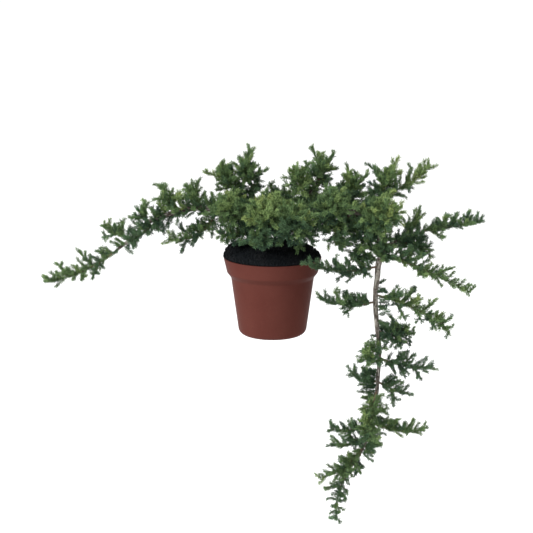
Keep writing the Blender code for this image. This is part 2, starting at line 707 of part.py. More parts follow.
def dense_headings(mass, path, rng):
    """The same for a dense mass, whose shoots stand out of its core on every side."""
    chord = (path[-1] - path[0]).normalized()
    phase = rng.uniform(0, math.tau)
    for k in range(mass.shoots):
        height = 1 - 2 * (k + 0.5) / mass.shoots
        turn = phase + k * math.radians(GOLDEN_ANGLE)
        across = math.sqrt(1 - height * height)
        outward = Vector((across * math.cos(turn), across * math.sin(turn), height + mass.up / 2))
        outward.normalize()
        base, _ = point_along(path, CORE_ALONG + CORE_ROOTS * outward.dot(chord))
        yield base, [outward], mass.core * MM + mass.reach * MM * rng.uniform(*LENGTH_SPREAD)


def clothed_points(twig):
    """Points along the clothed part of a twig's line."""
    first = max(twig.bare / path_length(twig.path), ROOT_SHARE)
    return [point_along(twig.path, first + (1 - first) * step / 4)[0] for step in range(5)]


def shoots_of(mass, path, stem, spaces, rng):
    """The side shoots of a mass, each the longest that keeps to its space and off the others."""
    bare = mass.core * MM * CORE_BARE
    places = dense_headings if mass.core else open_headings
    shoots, taken = [], clothed_points(stem)

    def fits(twig):
        points = clothed_points(twig)
        apart = all((a - b).length > APART for a in points for b in taken)
        return apart and spaces.holds(mass.name, outside_points(twig)).all()

    for base, headings, length in places(mass, path, rng):
        tries = (
            side_shoot(base, forward, length * share, bare, rng)
            for share in LENGTH_TRIES
            for forward in headings
            if length * share > bare + SHOOT_STRETCH / 2
        )
        shoot = next(filter(fits, tries), None)
        if shoot is not None:
            shoots.append(shoot)
            taken += clothed_points(shoot)
    return shoots


def core_mesh(mass, path, spaces, rng):
    """The dense middle of a mass: an uneven ball, drawn in wherever it would leave its space."""
    centre, _ = point_along(path, CORE_ALONG)
    chord = (path[-1] - path[0]).normalized()
    shape = bmesh.new()
    bmesh.ops.create_icosphere(shape, subdivisions=2, radius=mass.core * MM)
    for vertex in shape.verts:
        arm = vertex.co + chord * vertex.co.dot(chord) * (CORE_STRETCH - 1)
        vertex.co = centre + arm * rng.uniform(*CORE_SPREAD)
    for _ in range(CORE_TRIES):
        patches = [[vertex] for vertex in shape.verts]
        patches += [list(edge.verts) for edge in shape.edges]
        patches += [list(face.verts) for face in shape.faces]
        middles = [sum((vertex.co for vertex in patch), Vector()) / len(patch) for patch in patches]
        held = spaces.holds(mass.name, middles, CORE_OFF_BARK, CORE_MARGIN)
        loose = {vertex for patch, inside in zip(patches, held) if not inside for vertex in patch}
        if not loose:
            break
        for vertex in loose:
            vertex.co = centre.lerp(vertex.co, CORE_DRAW_IN)
    mesh = bpy.data.meshes.new("core")
    shape.to_mesh(mesh)
    shape.free()
    return mesh


def outer_body_only(mesh):
    """Keeps the largest closed body of a mesh, so a scrap or a sealed hollow is dropped."""
    shape = bmesh.new()
    shape.from_mesh(mesh)
    bmesh.ops.triangulate(shape, faces=shape.faces)
    unseen = set(shape.faces)
    bodies = []
    while unseen:
        body, front = [], [unseen.pop()]
        while front:
            face = front.pop()
            body.append(face)
            for near in {near for edge in face.edges for near in edge.link_faces} & unseen:
                unseen.remove(near)
                front.append(near)
        bodies.append(body)

    def volume(body):
        return sum(a.co.dot(b.co.cross(c.co)) for a, b, c in (face.verts for face in body)) / 6

    bodies.sort(key=volume)
    dropped = [face for body in bodies[:-1] for face in body]
    bmesh.ops.delete(shape, geom=dropped, context="FACES")
    shape.to_mesh(mesh)
    shape.free()


def join_mass(mass, meshes, material, collection):
    """One solid from a mass's stem, core and sprays, by a Boolean union on their collection."""
    pieces = new_collection(mass.name + "_pieces")
    for mesh in meshes[1:]:
        pieces.objects.link(bpy.data.objects.new(mass.name + "_piece", mesh))
    base = bpy.data.objects.new(mass.name + "_stem", meshes[0])
    bpy.context.scene.collection.objects.link(base)
    union = base.modifiers.new("join", "BOOLEAN")
    union.operation = "UNION"
    union.operand_type = "COLLECTION"
    union.collection = pieces
    union.solver = "EXACT"
    joined = evaluated_mesh(base)
    for made in [base, *pieces.objects]:
        remove_object(made)
    bpy.data.collections.remove(pieces)
    outer_body_only(joined)
    joined.materials.clear()
    joined.name = mass.name
    return add_object(mass.name, joined, material, collection)


def build_foliage(wood, collection):
    """The masses of foliage, each one solid in its own space."""
    tones = {name: principled(f"foliage {name}", colour, 0.6) for name, colour in FOLIAGE_TONES.items()}
    stems = {mass.name: stem_path(mass, wood) for mass in MASSES}
    spaces = Spaces(stems, wood)
    for mass in MASSES:
        path, rng = stems[mass.name], random.Random(mass.seed)
        stem = stem_twig(mass, path, rng)
        meshes = [twig_mesh(stem)]
        if mass.core:
            meshes.append(core_mesh(mass, path, spaces, rng))
        meshes += [twig_mesh(shoot) for shoot in shoots_of(mass, path, stem, spaces, rng)]
        join_mass(mass, meshes, tones[mass.tone], collection)


def main():
    """Clears the scene and builds the plant in its pot."""
    for made in list(bpy.data.objects):
        bpy.data.objects.remove(made)
    parts = new_collection(PARTS)
    cutters = new_collection(CUTTERS)
    build_pot(parts, cutters)
    build_soil(parts)
    wood = build_wood(parts)
    build_foliage(wood, parts)


main()
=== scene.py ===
"""The looks of a creeping juniper grown as a small bonsai in a round nursery pot.

The trunk and boughs get bark with relief. Each mass of foliage grows by the rule of its solid,
carried on to finer shoots that are clothed in whorls of three needles. The pot and the potting
mix get finely turned meshes, and loose crumbs lie on the mix.
"""

import json
import logging
from collections import defaultdict
from collections.abc import Callable, Iterator, Sequence
from dataclasses import dataclass, field
from enum import Enum
from itertools import pairwise
from math import atan2, ceil, cos, exp, hypot, pi, radians, remainder, sin, sqrt, tan, tau
from random import Random
from typing import Any, ClassVar

import bmesh
import bpy
import numpy as np
from bpy.types import Collection, Material, Mesh, NodeSocket, NodeTree, Object
from mathutils import Matrix, Vector, noise

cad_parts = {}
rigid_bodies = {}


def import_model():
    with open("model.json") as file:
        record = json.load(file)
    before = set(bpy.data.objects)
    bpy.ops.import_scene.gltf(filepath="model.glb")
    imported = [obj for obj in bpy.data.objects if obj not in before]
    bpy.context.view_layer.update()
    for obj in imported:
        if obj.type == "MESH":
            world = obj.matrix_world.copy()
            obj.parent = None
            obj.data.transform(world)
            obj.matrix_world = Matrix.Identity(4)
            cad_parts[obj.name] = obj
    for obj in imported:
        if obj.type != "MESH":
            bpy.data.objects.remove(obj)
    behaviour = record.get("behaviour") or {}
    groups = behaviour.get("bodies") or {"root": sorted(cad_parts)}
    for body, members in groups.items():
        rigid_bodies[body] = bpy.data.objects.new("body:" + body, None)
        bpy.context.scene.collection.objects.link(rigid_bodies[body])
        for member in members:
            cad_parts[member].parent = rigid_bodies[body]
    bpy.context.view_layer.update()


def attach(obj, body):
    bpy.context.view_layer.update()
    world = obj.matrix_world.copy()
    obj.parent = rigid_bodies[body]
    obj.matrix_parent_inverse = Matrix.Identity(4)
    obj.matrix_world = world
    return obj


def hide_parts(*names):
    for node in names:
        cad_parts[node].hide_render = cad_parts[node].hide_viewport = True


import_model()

LOG = logging.getLogger("juniper")
MM = 0.001
GAP = 0.3 * MM  # clearance between one solid and the next
GOLDEN_ANGLE = radians(137.5)
NEAR_UPRIGHT = 0.2  # sine of the angle to the upright below which a heading counts as upright
ROOT_BODY = "root"

Colour = tuple[float, float, float, float]
Profile = list[tuple[float, float]]
Line = Sequence[Vector]


class Tone(Enum):
    """The colours of the needles, from the oldest and most shaded to the newest; they are also dealt out as
    painted light and shade.
    """

    SHADE = "shade"
    DEEP = "deep"
    MID = "mid"
    FRESH = "fresh"
    BUD = "bud"


class Region(Enum):
    """The parts of the plant whose needles are joined."""

    LEFT = "left"
    CROWN = "crown"
    RIGHT = "right"
    HANGING = "hanging"


# Node trees


class Nodes:
    """A node tree and the one way that nodes are added to it."""

    def __init__(self, tree: NodeTree) -> None:
        """Wraps a tree.

        Args:
            tree: the node tree that nodes are added to.
        """
        self.tree = tree

    def node(
        self,
        kind: str,
        settings: dict[str, Any] | None = None,
        inputs: dict[str | int, Any] | None = None,
        output: str | int = 0,
    ) -> "Socket":
        """Adds a node.

        Args:
            kind: the node's type.
            settings: the node's own settings.
            inputs: the value or link of each socket, by its name or number.
            output: the name or number of the output wanted.

        Returns:
            The output, wrapped.
        """
        made = self.tree.nodes.new(kind)
        for name, value in (settings or {}).items():
            setattr(made, name, value)
        for name, value in (inputs or {}).items():
            self.feed(made.inputs[name], value)
        return Socket(self, made.outputs[output])

    def feed(self, target: NodeSocket, value: Any) -> None:
        """Links a socket to an input, or sets the input's value."""
        if isinstance(value, Socket):
            self.tree.links.new(value.link, target)
        else:
            target.default_value = value

    def maths(self, operation: str, *values: Any) -> "Socket":
        """Adds a Math node of this operation on these values."""
        return self.node("ShaderNodeMath", {"operation": operation}, dict(enumerate(values)))


@dataclass(frozen=True)
class Socket:
    """A node's output, on which arithmetic is written as Python expressions."""

    nodes: Nodes
    link: NodeSocket

    def __add__(self, other: Any) -> "Socket":
        """The sum."""
        return self.nodes.maths("ADD", self, other)

    def __radd__(self, other: Any) -> "Socket":
        """The sum, reflected."""
        return self.nodes.maths("ADD", other, self)

    def __sub__(self, other: Any) -> "Socket":
        """The difference."""
        return self.nodes.maths("SUBTRACT", self, other)

    def __rsub__(self, other: Any) -> "Socket":
        """The difference, reflected."""
        return self.nodes.maths("SUBTRACT", other, self)

    def __mul__(self, other: Any) -> "Socket":
        """The product."""
        return self.nodes.maths("MULTIPLY", self, other)

    def __rmul__(self, other: Any) -> "Socket":
        """The product, reflected."""
        return self.nodes.maths("MULTIPLY", other, self)


class Shader(Nodes):
    """A Principled material whose colour, roughness and relief are written as expressions."""

    def __init__(self, name: str, colour: Colour, roughness: float, specular: float = 0.5) -> None:
        """Starts a material.

        Args:
            name: the material's name.
            colour: the plain colour, which a pattern may replace.
            roughness: the plain roughness, which a pattern may replace.
            specular: how strongly the surface mirrors.
        """
        self.material = bpy.data.materials.new(name)
        self.material.use_nodes = True
        self.material.diffuse_color = colour
        super().__init__(self.material.node_tree)
        self.principled = self.tree.nodes["Principled BSDF"]
        self.set("Base Color", colour)
        self.set("Roughness", roughness)
        self.set("Specular IOR Level", specular)

    def set(self, name: str, value: Any) -> None:
        """Sets or links one of the shader's own sockets."""
        self.feed(self.principled.inputs[name], value)

    def place(self) -> Socket:
        """The place on the object, in metres."""
        return self.node("ShaderNodeTexCoord", output="Object")

    def attribute(self, name: str, output: str) -> Socket:
        """One of the piece's own attributes, as Vector or Fac."""
        return self.node("ShaderNodeAttribute", {"attribute_name": name}, output=output)

    def noise(self, place: Socket, scale: float, detail: float = 2, roughness: float = 0.5) -> Socket:
        """Smooth noise from 0 to 1, with this many features to a metre."""
        values = {"Vector": place, "Scale": scale, "Detail": detail, "Roughness": roughness}
        return self.node("ShaderNodeTexNoise", inputs=values, output="Fac")

    def stretch(self, value: Socket, low: float, high: float) -> Socket:
        """The value between low and high as 0 to 1, held at both ends."""
        values = {"Value": value, "From Min": low, "From Max": high}
        return self.node("ShaderNodeMapRange", {"clamp": True}, values)

    def mix(self, factor: Any, first: Any, second: Any) -> Socket:
        """One colour turned into another by a factor."""
        return self.node("ShaderNodeMix", {"data_type": "RGBA"}, {0: factor, 6: first, 7: second}, output=2)

    def relief(self, height: Socket, depth: float) -> None:
        """Bumps the surface by a height from 0 to 1 that stands for this depth in metres."""
        bump = self.node("ShaderNodeBump", inputs={"Height": height, "Distance": depth, "Strength": 1.0})
        self.set("Normal", bump)


class Growth(Nodes):
    """A Geometry Nodes tree with named inputs, which ends in realized instances and a material."""

    def __init__(self, name: str) -> None:
        """Starts a tree.

        Args:
            name: the tree's name.
        """
        super().__init__(bpy.data.node_groups.new(name, "GeometryNodeTree"))
        self.interface = self.tree.interface
        self.interface.new_socket("Geometry", in_out="OUTPUT", socket_type="NodeSocketGeometry")
        self.entry = self.tree.nodes.new("NodeGroupInput")
        self.exit = self.tree.nodes.new("NodeGroupOutput")
        self.base = self.input("Geometry", "Geometry")

    def input(self, name: str, kind: str) -> Socket:
        """Adds a named input of this kind, such as Float."""
        self.interface.new_socket(name, in_out="INPUT", socket_type=f"NodeSocket{kind}")
        return Socket(self, self.entry.outputs[name])

    def named(self, name: str) -> Socket:
        """A number kept on the points of the base mesh."""
        settings = {"data_type": "FLOAT"}
        return self.node("GeometryNodeInputNamedAttribute", settings, {"Name": name}, "Attribute")

    def chance(self, low: float, high: float, seed: Any) -> Socket:
        """A random number for each point, between low and high."""
        values = {2: low, 3: high, "Seed": seed}
        return self.node("FunctionNodeRandomValue", {"data_type": "FLOAT"}, values, 1)

    def pick(self, count: int, seed: Any) -> Socket:
        """A random whole number for each point, below count."""
        values = {4: 0, 5: count - 1, "Seed": seed}
        return self.node("FunctionNodeRandomValue", {"data_type": "INT"}, values, 2)

    def scatter(
        self, points: Socket, variants: Socket, choice: Socket, rotation: Socket, scale: Socket
    ) -> Socket:
        """Puts one of a collection's objects on each point.

        Args:
            points: the points or the curve's points.
            variants: the collection of the objects to choose from.
            choice: which object each point takes.
            rotation: how each is turned.
            scale: how large each is.

        Returns:
            The instances.
        """
        kinds = self.node(
            "GeometryNodeCollectionInfo",
            inputs={"Collection": variants, "Separate Children": True, "Reset Children": True},
        )
        values = {
            "Points": points, "Instance": kinds, "Pick Instance": True,
            "Instance Index": choice, "Rotation": rotation, "Scale": scale,
        }
        return self.node("GeometryNodeInstanceOnPoints", inputs=values)

    def close(self, geometry: Socket) -> None:
        """Ends the tree: instances made real, and the material named by its input."""
        material = self.input("Material", "Material")
        real = self.node("GeometryNodeRealizeInstances", inputs={"Geometry": geometry})
        dressed = self.node("GeometryNodeSetMaterial", inputs={"Geometry": real, "Material": material})
        self.feed(self.exit.inputs["Geometry"], dressed)

    def grow(self, name: str, base: Mesh, values: dict[str, Any]) -> Mesh:
        """Runs the tree on a mesh.

        Args:
            name: the name of the mesh made.
            base: the mesh that the tree starts from, which is removed.
            values: the value of each named input.

        Returns:
            The result as a plain mesh.
        """
        carrier = add_object(name, base)
        modifier = carrier.modifiers.new("growth", "NODES")
        modifier.node_group = self.tree
        for item in self.interface.items_tree:
            if item.item_type == "SOCKET" and item.in_out == "INPUT" and item.name in values:
                modifier[item.identifier] = values[item.name]
        mesh = evaluated_mesh(carrier)
        carrier.modifiers.remove(modifier)
        remove_object(carrier)
        mesh.name = name
        return mesh


# Blender helpers


def evaluated_mesh(made: Object) -> Mesh:
    """A plain mesh of the object with its modifiers applied."""
    bpy.context.view_layer.update()
    graph = bpy.context.evaluated_depsgraph_get()
    return bpy.data.meshes.new_from_object(made.evaluated_get(graph))


def add_object(name: str, data: Any) -> Object:
    """A new object in the scene, at the origin."""
    made = bpy.data.objects.new(name, data)
    bpy.context.scene.collection.objects.link(made)
    return made


def mesh_of(name: str, shape: bmesh.types.BMesh) -> Mesh:
    """A mesh made of a shape, which is freed."""
    mesh = bpy.data.meshes.new(name)
    shape.to_mesh(mesh)
    shape.free()
    return mesh


def remove_object(made: Object) -> None:
    """Deletes an object, and its mesh if nothing else uses it."""
    mesh = made.data
    bpy.data.objects.remove(made)
    if mesh.users == 0:
        bpy.data.meshes.remove(mesh)


def new_collection(name: str) -> Collection:
    """A new collection under the scene's own."""
    made = bpy.data.collections.new(name)
    bpy.context.scene.collection.children.link(made)
    return made


def clear_variants(variants: Collection) -> None:
    """Removes the objects that instances were made from, and their collection."""
    for made in list(variants.objects):
        remove_object(made)
    bpy.data.collections.remove(variants)


def add_piece(
    name: str,
    mesh: Mesh,
    material: Material,
    slot: str,
    nodes: Sequence[str] = (),
    smooth: bool = False,
) -> Object:
    """Adds a finished piece of the plant.

    Args:
        name: the piece's name.
        mesh: its mesh, with its place in it.
        material: its finish.
        slot: the record's material slot that it stands for; not used.
        nodes: the solids that it is shown in place of.
        smooth: whether its faces are shaded smooth.

    Returns:
        The piece's object.
    """
    for left in ("size", "closing", "girth"):
        if left in mesh.attributes:
            mesh.attributes.remove(mesh.attributes[left])
    if smooth:
        mesh.shade_smooth()
    mesh.materials.clear()
    mesh.materials.append(material)
    made = add_object(name, mesh)
    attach(made, ROOT_BODY)
    if nodes:
        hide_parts(*nodes)
    LOG.info("%s: %d triangles", name, sum(len(face.vertices) - 2 for face in mesh.polygons))
    return made


# Finishes


@dataclass(frozen=True)
class PlasticFinish:
    """Satin terracotta-coloured plastic, a little chalky and dusty, with painted shade in the crease under
    the collar.
    """

    colour: Colour = (0.069, 0.0202, 0.0158, 1)
    chalk: Colour = (0.100, 0.034, 0.026, 1)
    # the colour of the dusty specks, and also of the painted shade in the crease under the collar
    dust_and_crease_shade: Colour = (0.030, 0.011, 0.009, 1)
    roughness: float = 0.44
    specular: float = 0.012
    # the heights between which the crease under the collar gets painted shade
    crease: tuple[float, float] = (61 * MM, 66.5 * MM)

    def material(self) -> Material:
        """The pot's material: mottling, scuffs, a fine moulded grain, and painted shade in the crease under
        the collar.

        Returns:
            The material.
        """
        shader = Shader("terracotta plastic", self.colour, self.roughness, self.specular)
        place = shader.place()
        clouds = shader.noise(place, 28, 3)
        speckle = shader.noise(place, 900, 2)
        scuffs = shader.stretch(shader.noise(place, 160, 5, 0.7), 0.56, 0.72)
        base = shader.mix(shader.stretch(clouds, 0.35, 0.7) * 0.30, self.colour, self.chalk)
        base = shader.mix(scuffs * 0.22, base, self.chalk)
        base = shader.mix(shader.stretch(speckle, 0.62, 0.75) * 0.25, base, self.dust_and_crease_shade)
        height = shader.node("ShaderNodeSeparateXYZ", inputs={"Vector": place}, output="Z")
        low, high = self.crease
        # painted shade: the band under the collar is darkened towards the same dark colour as the specks
        painted_crease_shade = shader.stretch(height, low - MM, low + MM)
        painted_crease_shade = painted_crease_shade * (1 - shader.stretch(height, high - MM, high + MM))
        shader.set("Base Color", shader.mix(painted_crease_shade * 0.20, base, self.dust_and_crease_shade))
        shader.set("Roughness", self.roughness + clouds * 0.08 + scuffs * 0.14 - 0.05)
        shader.relief(shader.noise(place, 1400, 2) + clouds * 0.5, 0.02 * MM)
        return shader.material


@dataclass(frozen=True)
class MixFinish:
    """Damp peaty potting mix, nearly black."""

    colour: Colour = (0.0035, 0.0045, 0.0055, 1)
    brown: Colour = (0.013, 0.013, 0.014, 1)
    roughness: float = 0.92
    specular: float = 0.08

    def material(self) -> Material:
        """The mix's material: dark and brown grains of a millimetre or so.

        Returns:
            The material.
        """
        shader = Shader("potting mix", self.colour, self.roughness, self.specular)
        place = shader.place()
        grains = shader.noise(place, 420, 4, 0.65)
        patches = shader.noise(place, 70, 2)
        shade = shader.stretch(grains * 0.7 + patches * 0.3, 0.48, 0.72)
        shader.set("Base Color", shader.mix(shade, self.colour, self.brown))
        shader.set("Roughness", 0.97 - shader.stretch(patches, 0.5, 0.8) * 0.2)
        shader.relief(grains, 0.6 * MM)
        return shader.material


@dataclass(frozen=True)
class BarkFinish:
    """Thin grey-brown bark with a pink cast, which flakes in strips along the limb."""

    ridge: Colour = (0.290, 0.275, 0.245, 1)
    plate: Colour = (0.130, 0.108, 0.092, 1)
    crack: Colour = (0.034, 0.026, 0.021, 1)
    lichen: Colour = (0.420, 0.420, 0.360, 1)
    roughness: float = 0.88
    specular: float = 0.2

    def material(self) -> Material:
        """The bark's material: its grain runs along each limb, its cracks lie in the relief.

        Returns:
            The material.
        """
        shader = Shader("bark", self.plate, self.roughness, self.specular)
        grain = shader.attribute("grain", "Vector")
        height = shader.attribute("height", "Fac")
        strips = shader.noise(grain, 900, 4, 0.6)
        fibres = shader.noise(grain, 3200, 3, 0.6)
        patches = shader.noise(shader.place(), 90, 2)
        lift = shader.stretch(height * 0.45 + strips * 0.35 + patches * 0.2, 0.26, 0.58)
        base = shader.mix(lift, self.crack, self.plate)
        pale = shader.stretch(height * 0.5 + patches * 0.3 + fibres * 0.2, 0.42, 0.66)
        base = shader.mix(pale, base, self.ridge)
        blotches = shader.stretch(shader.noise(shader.place(), 130, 4, 0.65), 0.46, 0.56)
        base = shader.mix(blotches * 0.85, base, self.crack)
        crust = shader.stretch(shader.noise(shader.place(), 420, 3), 0.56, 0.68)
        shader.set("Base Color", shader.mix(crust * 0.6, base, self.lichen))
        shader.set("Roughness", 0.95 - pale * 0.15)
        shader.relief(strips * 0.6 + fibres * 0.4, 0.25 * MM)
        return shader.material


@dataclass(frozen=True)
class TwigFinish:
    """The bark of fine twigs: brown where they are old, green where they are new."""

    old: Colour = (0.150, 0.100, 0.070, 1)
    new: Colour = (0.075, 0.120, 0.045, 1)
    fleck: Colour = (0.030, 0.025, 0.020, 1)
    roughness: float = 0.75
    specular: float = 0.2

    def material(self) -> Material:
        """The twigs' material, turned from brown to green by their age.

        Returns:
            The material.
        """
        shader = Shader("twig", self.old, self.roughness, self.specular)
        age = shader.attribute("age", "Fac")
        flecks = shader.noise(shader.place(), 1500, 2)
        base = shader.mix(shader.stretch(age + flecks * 0.4, 0.45, 1.0), self.new, self.old)
        shader.set("Base Color", shader.mix(flecks * 0.5, base, self.fleck))
        return shader.material


@dataclass(frozen=True)
class NeedleFinish:
    """Needles of one tone, with painted shade at their roots and a painted highlight at their points, in
    uneven bands.
    """

    tone: Tone
    colour: Colour
    pale: Colour
    slot: str
    # painted shade: each needle's root is darkened to this share of its colour
    root_shade: float = 0.38  # how bright a needle's root is, as a share of its colour
    roughness: float = 0.52
    specular: float = 0.16

    def material(self) -> Material:
        """The needles' material.

        Returns:
            The material.
        """
        shader = Shader(f"needles {self.tone.value}", self.colour, self.roughness, self.specular)
        place = shader.place()
        bands = shader.stretch(shader.noise(place, 480, 3), 0.38, 0.62)
        broad = shader.noise(place, 70, 2)
        dark = (*(self.root_shade * channel for channel in self.colour[:3]), 1)
        root_shade_to_highlight = shader.attribute("along", "Fac")
        # painted shade at each needle's root turning into a painted highlight at its point, with the uneven
        # bands
        base = shader.mix(shader.stretch(root_shade_to_highlight + bands * 0.5, 0.38, 1.15), dark, self.pale)
        base = shader.mix(0.15, base, self.colour)
        shader.set("Base Color", shader.mix(shader.stretch(broad, 0.40, 0.65) * 0.35, base, dark))
        shader.set("Roughness", self.roughness + bands * 0.12)
        return shader.material


# each tone's colour, then the paler colour of the painted highlight at its needles' points
NEEDLE_FINISHES = (
    NeedleFinish(Tone.SHADE, (0.028, 0.066, 0.038, 1), (0.052, 0.102, 0.058, 1), "foliage_deep"),
    NeedleFinish(Tone.DEEP, (0.050, 0.112, 0.052, 1), (0.100, 0.175, 0.085, 1), "foliage_deep"),
    NeedleFinish(Tone.MID, (0.088, 0.172, 0.058, 1), (0.158, 0.246, 0.100, 1), "foliage_mid"),
    NeedleFinish(Tone.FRESH, (0.142, 0.242, 0.068, 1), (0.240, 0.335, 0.128, 1), "foliage_fresh"),
    NeedleFinish(Tone.BUD, (0.220, 0.315, 0.080, 1), (0.330, 0.410, 0.150, 1), "foliage_fresh"),
)


# The pot and its filling


def fillet(corners: Sequence[tuple[float, float]], radii: Sequence[float], steps: int) -> Profile:
    """Rounds the corners of a profile.

    Args:
        corners: the profile's corners, as radius and height.
        radii: the rounding of each corner, 0 for none.
        steps: how many stretches each rounding has.

    Returns:
        The rounded profile.
    """
    profile = [corners[0]]
    for before, corner, after, radius in zip(corners, corners[1:], corners[2:], radii[1:]):
        here, back, on = Vector(corner), Vector(before), Vector(after)
        inward, outward = (back - here).normalized(), (on - here).normalized()
        half = inward.angle(outward) / 2
        if radius == 0 or half > radians(89.9):
            profile.append(corner)
            continue
        run = radius / tan(half)
        middle = here + (inward + outward).normalized() * radius / sin(half)
        first, last = here + inward * run - middle, here + outward * run - middle
        sweep = first.angle_signed(last)
        for step in range(steps + 1):
            spot = middle + Matrix.Rotation(-sweep * step / steps, 2) @ first
            profile.append(tuple(spot))
    return [*profile, corners[-1]]


def turned_mesh(name: str, profile: Profile, sides: int) -> Mesh:
    """A profile turned round the upright axis.

    Args:
        name: the mesh's name.
        profile: points as radius and height, the outer side running down.
        sides: how many sides the turning has.

    Returns:
        The closed mesh.
    """
    mesh = bpy.data.meshes.new(name)
    edges = [(k, k + 1) for k in range(len(profile) - 1)]
    mesh.from_pydata([(radius, 0, height) for radius, height in profile], edges, [])
    made = add_object(name, mesh)
    screw = made.modifiers.new("turn", "SCREW")
    screw.axis = "Z"
    screw.steps = screw.render_steps = sides
    screw.use_merge_vertices = True
    screw.merge_threshold = 0.01 * MM
    turned = evaluated_mesh(made)
    remove_object(made)
    return turned


@dataclass(frozen=True)
class Pot:
    """The nursery pot: a thin turned shell with a collar and drain holes."""

    height: float = 82 * MM
    lip_radius: float = 51 * MM
    lip_rounding: float = 0.7 * MM
    collar_rounding: float = 3.5 * MM
    step_rounding: float = 5.0 * MM
    collar_foot_radius: float = 47.4 * MM
    collar_foot_height: float = 66.5 * MM
    body_top_radius: float = 43.2 * MM
    body_top_height: float = 61 * MM
    body_foot_radius: float = 34.9 * MM
    base_rounding: float = 7 * MM
    inner_collar_rounding: float = 2 * MM
    inner_step_rounding: float = 1.6 * MM
    wall: float = 1.6 * MM
    drain_holes: int = 5
    drain_radius: float = 3.5 * MM
    drain_circle: float = 19 * MM
    drain_sides: int = 40
    sides: int = 160
    sharp: float = 35  # degrees between two faces from which their edge is sharp
    finish: PlasticFinish = field(default_factory=PlasticFinish)

    def profile(self, wall: float) -> Profile:
        """The pot's side, from the lip down to the middle of the floor.

        Args:
            wall: how far it is drawn in.

        Returns:
            Points as radius and height.
        """
        return [
            (self.lip_radius - wall, self.height),
            (self.collar_foot_radius - wall, self.collar_foot_height),
            (self.body_top_radius - wall, self.body_top_height),
            (self.body_foot_radius - wall, wall),
            (0, wall),
        ]

    def shell(self) -> Profile:
        """The whole rounded profile, from the middle of the floor up and over the lip, and down.

        Returns:
            Points as radius and height.
        """
        radii = (0, self.inner_collar_rounding, self.inner_step_rounding, self.base_rounding - self.wall, 0)
        inner = fillet(self.profile(self.wall), radii, 5)
        corners = [inner[0], (self.lip_radius, self.height), *self.profile(0)[1:]]
        radii = (0, self.lip_rounding, self.collar_rounding, self.step_rounding, self.base_rounding, 0)
        return inner[:0:-1] + fillet(corners, radii, 6)

    def build(self) -> None:
        """Makes the pot and its holes."""
        shell = add_object("pot_shell", turned_mesh("pot_shell", self.shell(), self.sides))
        drills = []
        for k in range(self.drain_holes):
            angle = tau * (k + 0.5) / self.drain_holes
            spot = (self.drain_circle * cos(angle), self.drain_circle * sin(angle), 0)
            bpy.ops.mesh.primitive_cylinder_add(
                vertices=self.drain_sides, radius=self.drain_radius, depth=6 * self.wall, location=spot
            )
            drills.append(bpy.context.object)
            hole = shell.modifiers.new("hole", "BOOLEAN")
            hole.operation = "DIFFERENCE"
            hole.object = drills[-1]
        mesh = evaluated_mesh(shell)
        for made in [shell, *drills]:
            remove_object(made)
        mesh.set_sharp_from_angle(angle=radians(self.sharp))
        piece = add_piece("pot_shell", mesh, self.finish.material(), "pot", ["pot"])
        for face in piece.data.polygons:
            face.use_smooth = True


